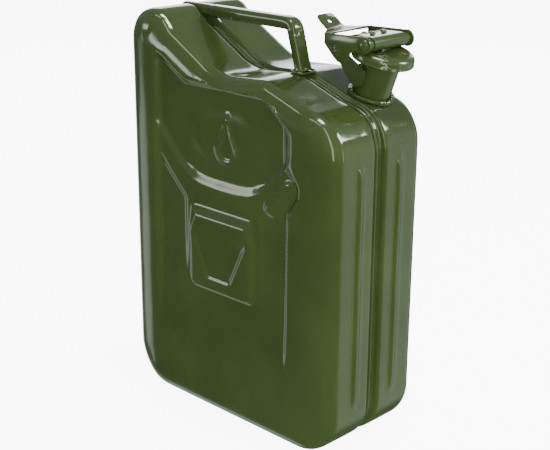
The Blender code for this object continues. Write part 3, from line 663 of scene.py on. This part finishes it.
def neck_station(travel):
    axis = neck_axis()
    length = math.dist(NECK_FOOT, NECK_TOP)
    tilt = NECK_FOOT_TILT + (MOUTH_TILT - NECK_FOOT_TILT) * travel / length
    return (NECK_FOOT[0] + axis.x * travel, NECK_FOOT[1] + axis.z * travel), tilt


def bar_rings(points, radius, count, closed=False, wobble=None):
    """Rings of a round bar along a list of 3-D points."""
    rings = []
    total = len(points)
    across = Vector((0.0, 1.0, 0.0))
    for i, p in enumerate(points):
        ahead = points[(i + 1) % total] if closed or i + 1 < total else points[i]
        behind = points[i - 1] if closed or i else points[i]
        run = (Vector(ahead) - Vector(behind)).normalized()
        if closed or abs(run.y) > 0.7:
            across = Vector((0.3, 0.0, 0.95))
        side = (across - run * across.dot(run)).normalized()
        other = run.cross(side)
        size = radius * (1.0 + (wobble(i) if wobble else 0.0))
        ring = []
        for k in range(count):
            a = 2 * math.pi * k / count
            ring.append(Vector(p) + side * size * math.cos(a) + other * size * math.sin(a))
        rings.append(ring)
    return rings


def outline_height(x, path=rounded_path(OUTLINE, math.radians(3), 10.0)):
    """Height of the can's top at x, on the side wall."""
    best = 0.0
    for i, (b, _) in enumerate(path):
        a = path[i - 1][0]
        if a.y > 200 and b.y > 200 and (a.x - x) * (b.x - x) <= 0 and a.x != b.x:
            best = max(best, a.y + (b.y - a.y) * (x - a.x) / (b.x - a.x))
    return best


# ---- welds, handle and neck -------------------------------------------------
BEAD_RISE, BEAD_HALF, BEAD_PITCH = 1.75, 2.1, 3.4


def build_seam_bead():
    """Rippled weld bead along the bottom of the seam channel."""
    bm = bmesh.new()
    rings = []
    path = rounded_path(OUTLINE, math.radians(2.0), 1.1)
    travel = 0.0
    for i, (point, normal) in enumerate(path):
        travel += (point - path[i - 1][0]).length if i else 0.0
        ripple = 0.28 * math.sin(travel * 2 * math.pi / BEAD_PITCH)
        ripple += 0.25 * noise.noise(Vector((travel / 9.0, 0.0, 0.0)))
        floor = channel_depth(point) - GAP
        ring = []
        for k in range(7):
            a = math.pi * k / 6
            ring.append((floor - (BEAD_RISE + ripple) * math.sin(a), -BEAD_HALF * math.cos(a)))
        ring = [(point - normal * inset, y) for inset, y in ring]
        rings.append([(spot.x, y, spot.y) for spot, y in ring])
    loft(bm, rings, closed=True)
    add_piece("seam_weld", bm, BODY_ENAMEL, "root", ("seam_bead",), sharp=70)


def rounded_rect(half_a, half_b, corner, per_corner=7):
    found = []
    for sa, sb, start in ((1, 1, 0), (-1, 1, 90), (-1, -1, 180), (1, -1, 270)):
        for k in range(per_corner):
            a = math.radians(start + 90.0 * k / (per_corner - 1))
            found.append((sa * (half_a - corner) + corner * math.cos(a),
                          sb * (half_b - corner) + corner * math.sin(a)))
    return found


# centre line in XZ, thickness and half width: the shaft's two ends, then the bend and leg
HANDLE_SHAFT = [(-121.0, 398.6, 11.4, 5.8), (-84.0, 398.6, 11.8, 6.0), (-70.0, 398.6, 12.0, 7.0),
                (15.0, 398.6, 12.0, 7.6)]
HANDLE_BEND = [(20.0, 398.6, 12.0, 7.7), (27.0, 397.8, 11.6, 8.0), (31.0, 394.6, 11.0, 8.2),
               (33.0, 389.0, 10.6, 8.4), (41.0, 361.0, 10.4, 8.4), (42.5, 355.2, 12.0, 9.0)]
HANDLE_CORNER = 4.0
HANDLE_END = ((0.93, 0.7), (0.75, 1.3), (0.4, 1.7))     # closed rear end: share of size, reach back
FOOT_X, FOOT_HALF, FOOT_WELD = 42.5, (6.0, 9.0), 1.3
REAR_WELD_SPOT, REAR_WELD_HALF, REAR_WELD = (-123.2, 395.8), 5.0, 1.4


def fine_line(line, per_span):
    """Smooth points (Catmull-Rom) through a list of tuples."""
    data = np.array(line, float)
    data = np.concatenate([2 * data[:1] - data[1:2], data, 2 * data[-1:] - data[-2:-1]])
    found = []
    for i in range(1, len(data) - 2):
        p0, p1, p2, p3 = data[i - 1:i + 3]
        for k in range(per_span):
            t = k / per_span
            found.append(0.5 * ((2 * p1) + (p2 - p0) * t + (2 * p0 - 5 * p1 + 4 * p2 - p3) * t ** 2
                                + (3 * p1 - p0 - 3 * p2 + p3) * t ** 3))
    found.append(data[-2])
    return found


def build_handle():
    """Bent, slightly flattened tube with its rear end closed by the weld."""
    line = [tuple(p) for p in fine_line(HANDLE_SHAFT + HANDLE_BEND, 6)]
    bm = bmesh.new()
    rings = []
    for i, (x, z, thick, half) in enumerate(line):
        before, after = line[max(i - 1, 0)], line[min(i + 1, len(line) - 1)]
        run = Vector((after[0] - before[0], after[1] - before[1])).normalized()
        normal = Vector((-run.y, run.x))
        ring = []
        for a, b in rounded_rect(thick / 2, half, HANDLE_CORNER):
            ring.append((x + normal.x * a, b, z + normal.y * a))
        rings.append(ring)
    middle = Vector((line[0][0], 0.0, line[0][1]))
    for share, back in HANDLE_END:
        first = rings[-len(line)]
        reach = Vector((back, 0.0, 0.0))
        rings.insert(0, [middle + (Vector(p) - middle) * share - reach for p in first])
    loft(bm, rings)
    add_piece("carry_handle", bm, HANDLE_ENAMEL, "root", ("handle",))


def lumps(size, seed):
    """Uneven thickness of a hand-laid weld."""
    def at(i):
        beat = math.sin(i * 2 * math.pi / 6.0) * 0.5
        return size * (beat + noise.noise(Vector((i / 4.0, seed, 0.0))))
    return at


def build_handle_welds():
    """The rear weld across the handle's end, and the one round its foot."""
    bm = bmesh.new()
    x, z = REAR_WELD_SPOT
    points = [(x, -REAR_WELD_HALF + k * 0.5, z) for k in range(21)]
    loft(bm, bar_rings(points, REAR_WELD, 12, wobble=lumps(0.15, 1.0)))
    add_piece("rear_handle_weld", bm, HANDLE_ENAMEL, "root",
              ("handle_rear_weld",), sharp=70)
    path = []
    out = GAP + FOOT_WELD
    for a, b in rounded_rect(FOOT_HALF[0] + out, FOOT_HALF[1] + out, 4.5, 16):
        x = FOOT_X + a
        path.append((x, b, outline_height(x) + GAP + FOOT_WELD))
    bm = bmesh.new()
    loft(bm, bar_rings(path, FOOT_WELD, 12, closed=True, wobble=lumps(0.18, 2.0)), closed=True)
    add_piece("front_handle_weld", bm, HANDLE_ENAMEL, "root",
              ("handle_front_weld",), sharp=70)


def build_neck():
    """Leaning tube from inside the can up to the mouth, open right through."""
    bm = bmesh.new()
    skins = []
    length = math.dist(NECK_FOOT, NECK_TOP)
    for shrink in (0.0, NECK_WALL):
        rings = []
        for k in range(13):
            travel = -NECK_BELOW + (length + NECK_BELOW) * k / 12
            centre, tilt = neck_station(travel)
            rings.append(ring_of(centre, tilt, NECK_OUTER - shrink))
        rings.append(ring_of(MOUTH, MOUTH_TILT, NECK_OUTER - shrink, MOUTH_RING_HALF))
        skins.append(loft(bm, rings, caps=False))
    for end in (0, -1):
        bridge(bm, skins[0][end], skins[1][end])
    add_piece("filler_neck", bm, NECK_ENAMEL, "root", ("neck",), shift=SPOUT)


def build_neck_weld():
    """Bead that follows the shoulder round the neck."""
    radius, count = 2.3, 144
    reach = NECK_OUTER + radius + GAP * 0.3
    points = []
    for k in range(count):
        angle = 360.0 * k / count
        low, high = -NECK_BELOW - 8.0, 20.0
        for _ in range(26):
            travel = (low + high) / 2
            centre, tilt = neck_station(travel)
            spot = tilted(centre, tilt, reach, angle)
            real = spot + SPOUT
            slope = outline_height(real.x + 0.5) - outline_height(real.x - 0.5)
            if real.z > outline_height(real.x) + (radius - 0.3) * math.hypot(1.0, slope):
                high = travel
            else:
                low = travel
        points.append(spot)
    bm = bmesh.new()
    loft(bm, bar_rings(points, radius, 14, closed=True, wobble=lumps(0.12, 3.0)), closed=True)
    add_piece("neck_foot_weld", bm, NECK_ENAMEL, "root", ("neck_weld",),
              sharp=70, shift=SPOUT)


def build_mouth_ring():
    """Rolled flange that the gasket seals against."""
    inner, half = NECK_OUTER + GAP, MOUTH_RING_HALF
    profile = [(inner, -half)] + arc((FLANGE_RADIUS - half, 0.0), half, -90, 90, 12) + [(inner, half)]
    add_piece("mouth_flange", turned(profile, True), NECK_ENAMEL, "root",
              ("mouth_ring",), shift=SPOUT)


BREATHER_LINE = [(128.5, 0.0, 377.0), (123.2, 0.0, 362.0), (117.8, 0.0, 346.5), (112.0, 0.0, 331.0),
                 (104.0, 0.0, 321.5), (92.0, 0.0, 317.5), (66.0, 0.0, 322.0), (40.0, 0.0, 329.0)]
BREATHER_RADII = (4.0, 3.2)


def build_breather():
    """Air tube from the mouth into the can, open at both ends."""
    line = [tuple(p) for p in fine_line(BREATHER_LINE, 5)]
    bm = bmesh.new()
    skins = [loft(bm, bar_rings(line, radius, 20), caps=False) for radius in BREATHER_RADII]
    for end in (0, -1):
        bridge(bm, skins[0][end], skins[1][end])
    add_piece("air_tube", bm, STEEL, "root", ("breather_tube",), shift=SPOUT)


# ---- closure ----------------------------------------------------------------
def closure_metal(name, bm, body, node, sharp=40.0):
    """An enamelled piece of the closure, which stands in for one node."""
    return add_piece(name, bm, CLOSURE_ENAMEL, body, (node,), sharp, shift=SPOUT)


def at_mouth(x, rise):
    """Point in XZ over the mouth's plane."""
    t = math.radians(MOUTH_TILT)
    reach = (x - MOUTH[0] - rise * math.sin(t)) / math.cos(t)
    return x, MOUTH[1] - reach * math.sin(t) + rise * math.cos(t)


def upright_rod(x, y, steps):
    """Turned rod square to the mouth's plane; steps are (rise, radius)."""
    top = at_mouth(x, LID_TOP)
    bm = bmesh.new()
    loft(bm, [ring_of(top, MOUTH_TILT, radius, rise - LID_TOP, 32) for rise, radius in steps])
    bmesh.ops.translate(bm, verts=bm.verts, vec=(0.0, y, 0.0))
    return bm


def build_lid():
    """Pressed cap: flat top with a shallow ring, rolled rim."""
    shoulder = 5.0
    flat = LID_RADIUS - shoulder
    corner = LID_TOP - shoulder
    top = [(0.4, LID_TOP - 0.5), (9.0, LID_TOP - 0.5), (12.0, LID_TOP - 0.3), (14.0, LID_TOP)]
    outer = arc((flat, corner), shoulder, 90, 0, 10)
    rim = [(LID_RADIUS, 0.6)] + arc((LID_RADIUS - 0.6, -0.7), 1.1, 30, -120, 8)
    inner = arc((flat, corner), shoulder - LID_SHEET, 0, 90, 8)
    under = [(14.0, LID_TOP - LID_SHEET), (0.4, LID_TOP - LID_SHEET - 0.3)]
    profile = top + outer + rim + inner + under
    closure_metal("mouth_lid", turned(profile, False), "closure", "lid", 50)


def build_gasket():
    """Rubber ring between the lid and the mouth."""
    low, high = MOUTH_RING_HALF + GAP, LID_TOP - LID_SHEET - GAP
    inner, outer, edge = 18.6, 23.6, 0.8
    profile = [(inner, low), (outer, low)] + arc((outer, low + edge), edge, -90, 0, 4)
    profile += arc((outer, high - edge), edge, 0, 90, 4) + [(inner, high)]
    add_piece("lid_gasket", turned(profile, True), RUBBER, "closure", ("gasket",),
              shift=SPOUT)


def stud_rise(z):
    """Rise over the mouth's plane, along a stud, of a height at the stud."""
    t = math.radians(MOUTH_TILT)
    return LID_TOP + (z - at_mouth(STUD_X, LID_TOP)[1]) / math.cos(t)


def build_studs():
    """Two shouldered studs that hang the lid under the strap."""
    low, high = LID_TOP - LID_SHEET, LID_TOP
    under, over = stud_rise(STRAP_LOW), stud_rise(STRAP_HIGH)
    steps = [(low - 1.9, 2.4), (low - 1.5, STUD_HEAD), (low - GAP, STUD_HEAD), (low - GAP, STUD_SHANK),
             (high + GAP, STUD_SHANK), (high + GAP, STUD_HEAD), (under - 1.2, STUD_HEAD),
             (under - 1.2, STUD_SHANK), (over + 0.9, STUD_SHANK), (over + 0.9, 3.4),
             (over + 1.5, 3.3), (over + 2.1, 2.7), (over + 2.5, 1.6), (over + 2.6, 0.4)]
    for name, y in (("near_lid_stud", -STUD_Y), ("far_lid_stud", STUD_Y)):
        closure_metal(name + "_turned", upright_rod(STUD_X, y, steps), "closure", name, 50)


def build_yoke():
    """Strap with a barrel round the lever pin and a knuckle round the hinge pin."""
    outer = circle(PIVOT, BARREL_RADIUS, 40, 90.0, -316.3)
    outer += [(120.0, STRAP_LOW), (105.0, 395.3)]
    outer += circle(HINGE, KNUCKLE_RADIUS, 30, 50.0, -310.0)
    outer += [(103.4, 396.8), (119.6, STRAP_HIGH)]
    bores = [circle(PIVOT, BORE_RADIUS, 32), circle(HINGE, BORE_RADIUS, 32)]
    bm = plate(outer, bores, -YOKE_HALF, YOKE_HALF)
    for vert in bm.verts:
        share = float(smooth(112.0, 130.0, vert.co.x))
        half = KNUCKLE_HALF + (YOKE_HALF - KNUCKLE_HALF) * share
        vert.co.y = math.copysign(half, vert.co.y)
    soften(closure_metal("closure_yoke", bm, "closure", "yoke"), SHEET_EDGE)


# section of the bracket's band: travel up the neck, radius about its axis
BAND_LOW, BAND_HIGH = 13.0, 25.5
BAND_INNER, BAND_OUTER = NECK_OUTER + 0.4, BRACKET_Y - 0.1
BAND_SECTION = [(BAND_LOW, BAND_INNER), (BAND_LOW, BAND_OUTER),
                (BAND_HIGH, BAND_OUTER), (BAND_HIGH, BAND_INNER)]


def both_sides(outline, hole, inner, outer):
    """The same plate on either side of the closure's middle."""
    return join_meshes([plate(outline, [hole], -outer, -inner), plate(outline, [hole], inner, outer)])


def build_bracket():
    """Two arms and the band that hugs the back of the neck."""
    outline = circle(HINGE, 6.4, 24, 0.0, 200.0)
    outline += [(94.0, 384.5), (101.0, 377.5), (110.0, 366.0), (121.5, 353.5), (131.5, 357.0),
                (134.0, 370.0), (125.0, 375.5), (117.0, 380.0), (108.0, 386.5)]
    hole = circle(HINGE, BORE_RADIUS, 32)
    bm = both_sides(outline, hole, BRACKET_Y - BRACKET_SHEET, BRACKET_Y)
    rings = []
    for k in range(49):
        angle = 90.0 + 180.0 * k / 48
        ring = []
        for travel, radius in BAND_SECTION:
            centre, tilt = neck_station(travel)
            ring.append(tilted(centre, tilt, radius, angle))
        rings.append(ring)
    loft(bm, rings)
    soften(closure_metal("hinge_bracket", bm, "root", "closure_bracket"), SHEET_EDGE)


def rod(centre, steps, count=36):
    """Turned rod along Y through a point in XZ; steps are (y, radius)."""
    bm = bmesh.new()
    loft(bm, [[(x, y, z) for x, z in circle(centre, radius, count)] for y, radius in steps])
    return bm


def domed(y, side, radius, rise, steps=5):
    """Sections of a domed rivet head that starts at y and stands out by rise."""
    found = []
    for k in range(steps + 1):
        a = math.pi / 2 * k / steps
        found.append((y + side * rise * math.sin(a), max(0.2, radius * math.cos(a))))
    return found


def riveted(half, near_head, far_head):
    """Steps of a pin with a domed head, given as (radius, rise), past each end."""
    near = domed(-half, -1, *near_head)[::-1]
    return near + [(-half, PIN_RADIUS), (half, PIN_RADIUS)] + domed(half, 1, *far_head)


def build_pins():
    """The hinge pin, the lever's pin and the collars on it."""
    steps = riveted(BRACKET_Y + GAP, (4.4, 1.4), (4.4, 1.4))
    closure_metal("rear_pin", rod(HINGE, steps), "root", "hinge_pin")
    steps = riveted(LEVER_CHEEK_Y + GAP, (5.6, 2.4), (5.0, 2.2))
    closure_metal("rivet_pin", rod(PIVOT, steps), "lever", "lever_pin")
    low, high = YOKE_HALF + GAP, LEVER_CHEEK_Y - LEVER_SHEET - GAP
    bore = circle(PIVOT, BORE_RADIUS, 40)
    for name, side in (("near_spacer", -1), ("far_spacer", 1)):
        bm = plate(circle(PIVOT, COLLAR_RADIUS, 40), [bore], side * low, side * high)
        soften(closure_metal(name + "_collar", bm, "lever", name), COLLAR_EDGE)


# a lever cheek's outline in XZ, and the cross plate as (x, half width, top)
CHEEK = [(93.5, 401.5), (93.5, 391.5), (97.5, 388.0), (104.0, 381.5), (109.5, 377.2), (114.0, 376.0),
         (120.0, 377.0), (123.2, 380.0), (124.0, 386.0), (126.5, 388.8), (134.0, 389.0)]
CHEEK_TOP = (134.0, 402.8)
CHEEK_EYE = 7.8
CROSS_HALF = LEVER_CHEEK_Y - 0.1
CROSS_PLATE = [(97.0, CROSS_HALF, 401.4), (93.6, CROSS_HALF, 401.4), (86.0, 21.0, 401.4),
               (80.0, 12.5, 401.9), (77.0, 12.0, 403.0), (70.0, 12.0, 408.2), (65.5, 11.0, 411.6),
               (64.2, 8.0, 412.5)]
TAB_HOLE, TAB_HOLE_RADIUS, TAB_HOLE_REACH = Vector((72.3, 0.0, 407.0)), 2.6, Vector((4.8, 0.0, 6.4))


def cross_plate():
    """Plate that joins the cheeks and bends up into the finger tab."""
    bm = bmesh.new()
    rings = []
    for x, y, z in CROSS_PLATE:
        low = z - LEVER_SHEET
        rings.append([(x, -y, z), (x, -y, low), (x, y, low), (x, y, z)])
    loft(bm, rings)
    return helper("cross_plate", bm, SPOUT)


def tab_punch():
    """Slanting rod that makes the hole in the finger tab."""
    bm = bmesh.new()
    rings = []
    for end in (TAB_HOLE - TAB_HOLE_REACH, TAB_HOLE + TAB_HOLE_REACH):
        rings.append([(x, y, end.z) for x, y in circle((end.x, 0.0), TAB_HOLE_RADIUS, 32)])
    loft(bm, rings)
    return helper("tab_hole", bm, SPOUT)


def build_lever():
    """Two cheeks joined behind by the cross plate with its finger tab."""
    cheek = CHEEK + circle(PIVOT, CHEEK_EYE, 26, 232.0, 210.0) + [CHEEK_TOP]
    hole = circle(PIVOT, BORE_RADIUS, 32)
    bm = both_sides(cheek, hole, LEVER_CHEEK_Y - LEVER_SHEET, LEVER_CHEEK_Y)
    lever = closure_metal("release_lever", bm, "lever", "lever")
    joined, punch = cross_plate(), tab_punch()
    combine(lever, joined, "UNION")
    combine(lever, punch, "DIFFERENCE")
    soften(lever, SHEET_EDGE)
    apply_modifiers(lever)
    bpy.data.objects.remove(joined)
    bpy.data.objects.remove(punch)


# ---- stage ------------------------------------------------------------------
FLOOR_RADIUS, WALL_HEIGHT = 9.0, 5.0
PAPER_GLOW = 8.0


def stage_piece(name, bm, material):
    """Stage that the enamel doesn't mirror and that lights nothing."""
    mesh = bpy.data.meshes.new(name)
    bm.to_mesh(mesh)
    bm.free()
    mesh.materials.append(material)
    piece = bpy.data.objects.new(name, mesh)
    piece.visible_glossy = False
    piece.visible_diffuse = False
    piece.visible_shadow = False
    bpy.context.scene.collection.objects.link(piece)


def build_stage():
    """White paper floor and far white wall, which only the camera sees."""
    material = bpy.data.materials.new("floor_paper")
    material.use_nodes = True
    shader = material.node_tree.nodes["Principled BSDF"]
    shader.inputs["Base Color"].default_value = (0.86, 0.86, 0.86, 1.0)
    shader.inputs["Roughness"].default_value = 0.9
    shader.inputs["Specular IOR Level"].default_value = 0.1
    shader.inputs["Emission Color"].default_value = (1.0, 1.0, 1.0, 1.0)
    shader.inputs["Emission Strength"].default_value = PAPER_GLOW
    bm = bmesh.new()
    bmesh.ops.create_circle(bm, cap_ends=True, segments=96, radius=FLOOR_RADIUS)
    stage_piece("floor", bm, material)
    bm = bmesh.new()
    raised = Matrix.Translation((0.0, 0.0, WALL_HEIGHT / 2))
    bmesh.ops.create_cone(bm, cap_ends=False, segments=96, radius1=FLOOR_RADIUS,
                          radius2=FLOOR_RADIUS, depth=WALL_HEIGHT, matrix=raised)
    stage_piece("wall", bm, material)


def area_light(name, spot, target, size, power, mirrored=True):
    """Rectangular lamp: place and target in metres, size in metres, power in watts."""
    data = bpy.data.lights.new(name, "AREA")
    data.shape = "RECTANGLE"
    data.size, data.size_y = size
    data.energy = power
    light = bpy.data.objects.new(name, data)
    light.location = spot
    light.rotation_euler = (Vector(target) - Vector(spot)).to_track_quat("-Z", "Y").to_euler()
    light.visible_camera = False
    light.visible_glossy = mirrored
    bpy.context.scene.collection.objects.link(light)


# Lamps: name, place, target, size, power, whether the enamel mirrors them
LAMPS = [
    ("overhead", (0.25, 0.0, 2.2), (0.0, 0.0, 0.22), (0.5, 0.5), 36.0, True),
    ("key_right_back", (1.5, 1.3, 1.5), (0.0, 0.0, 0.22), (0.7, 0.7), 60.0, True),
    ("back_panel", (-1.45, 1.75, 0.98), (0.0, 0.0, 0.4), (2.3, 0.9), 27.0, True),
    ("camera_strip", (1.15, -1.1, 1.55), (0.0, 0.0, 1.55), (0.22, 2.9), 16.0, True),
    ("top_strip", (-0.1, -1.0, 2.6), (0.0, 0.0, 0.35), (1.5, 0.22), 9.0, True),
    ("left_panel", (-1.5, -1.5, 0.36), (0.0, 0.0, 0.3), (0.6, 0.26), 4.0, True),
    ("front_strip", (1.45, 0.55, 0.33), (0.14, 0.0, 0.33), (0.07, 0.62), 1.3, True),
    ("front_fill", (1.5, -1.3, 0.6), (0.0, 0.0, 0.15), (1.0, 1.0), 66.0, False),
    ("floor_bounce", (0.0, 0.0, -0.5), (0.0, 0.0, 0.0), (4.0, 4.0), 125.0, False),
]

# Bright soft surroundings that the enamel mirrors: direction, full and outer
# angle in degrees, brightness. Those below the horizon stand for pale low things.
ROOM_GLOWS = [
    ((-0.87, -0.37, -0.32), 4.0, 12.0, 1.7),
    ((-0.92, 0.20, -0.34), 6.0, 20.0, 1.6),
    ((-0.66, -0.07, -0.75), 6.0, 20.0, 1.2),
    ((0.55, 0.75, -0.30), 12.0, 40.0, 0.9),
]
HORIZON, LOW_GLOW, HIGH_GLOW = 0.15, 0.10, 0.40


def room_glow(tree, direction, aim, inner, outer, strength):
    """A soft-edged bright patch of the surroundings."""
    node = tree.nodes.new("ShaderNodeVectorMath")
    node.operation = "DOT_PRODUCT"
    link(tree, direction, node.inputs[0])
    node.inputs[1].default_value = Vector(aim).normalized()
    low, high = math.cos(math.radians(outer)), math.cos(math.radians(inner))
    patch = tree.nodes.new("ShaderNodeMapRange")
    patch.interpolation_type = "SMOOTHSTEP"
    link(tree, node.outputs["Value"], patch.inputs["Value"])
    for socket, value in (("From Min", low), ("From Max", high), ("To Min", 0.0), ("To Max", strength)):
        patch.inputs[socket].default_value = value
    return patch.outputs["Result"]


def build_lights():
    """The lamps, and surroundings that brighten above the horizon."""
    for lamp in LAMPS:
        area_light(*lamp)
    world = bpy.data.worlds.new("studio")
    world.use_nodes = True
    tree = world.node_tree
    direction = tree.nodes.new("ShaderNodeTexCoord").outputs["Generated"]
    height = tree.nodes.new("ShaderNodeSeparateXYZ")
    link(tree, direction, height.inputs[0])
    glow = remap(tree, height.outputs["Z"], -HORIZON, HORIZON, LOW_GLOW, HIGH_GLOW)
    for patch in ROOM_GLOWS:
        glow = maths(tree, "ADD", glow, room_glow(tree, direction, *patch))
    backdrop = tree.nodes["Background"]
    backdrop.inputs["Color"].default_value = (0.9, 0.95, 1.0, 1.0)
    link(tree, glow, backdrop.inputs["Strength"])
    bpy.context.scene.world = world


# Camera: bearing from the near face towards the front, height over the horizon and
# roll in degrees; what it aims at, its distance and its shift across the view in metres
BEARING, HEIGHT, ROLL = 44.24, 18.68, 0.37
AIM_HEIGHT, DISTANCE, SHIFT_RIGHT, SHIFT_DOWN = 0.200, 1.1744, 0.0048, 0.0074
SENSOR_WIDTH, FOCAL_LENGTH = 36.0, 76.418


def build_camera():
    """The view of the can's near face and front."""
    bearing, height, roll = (math.radians(v) for v in (BEARING, HEIGHT, ROLL))
    level = math.cos(height)
    back = Vector((math.sin(bearing) * level, -math.cos(bearing) * level, math.sin(height)))
    right = Vector((math.cos(bearing), math.sin(bearing), 0.0))
    up = back.cross(right)
    turned_right = right * math.cos(roll) + up * math.sin(roll)
    turned_up = up * math.cos(roll) - right * math.sin(roll)
    data = bpy.data.cameras.new("camera")
    data.sensor_width = SENSOR_WIDTH
    data.lens = FOCAL_LENGTH
    camera = bpy.data.objects.new("camera", data)
    aim = Vector((CAN_X * MM, 0.0, AIM_HEIGHT))
    spot = aim + back * DISTANCE + turned_right * SHIFT_RIGHT - turned_up * SHIFT_DOWN
    rotation = Matrix((turned_right, turned_up, back)).transposed()
    camera.matrix_world = Matrix.Translation(spot) @ rotation.to_4x4()
    bpy.context.scene.collection.objects.link(camera)
    bpy.context.scene.camera = camera


BODY_ENAMEL = enamel("body_enamel")
HANDLE_ENAMEL = enamel("handle_enamel", wear=0.2)
NECK_ENAMEL = enamel("neck_enamel")
CLOSURE_ENAMEL = enamel("closure_enamel", wear=0.3, gloss=0.14)
RUBBER = rubber()
STEEL = tube_steel()

build_camera()
build_shells()
build_seam_bead()
build_handle()
build_handle_welds()
build_neck()
build_neck_weld()
build_mouth_ring()
build_breather()
build_lid()
build_gasket()
build_studs()
build_yoke()
build_bracket()
build_pins()
build_lever()
build_stage()
build_lights()
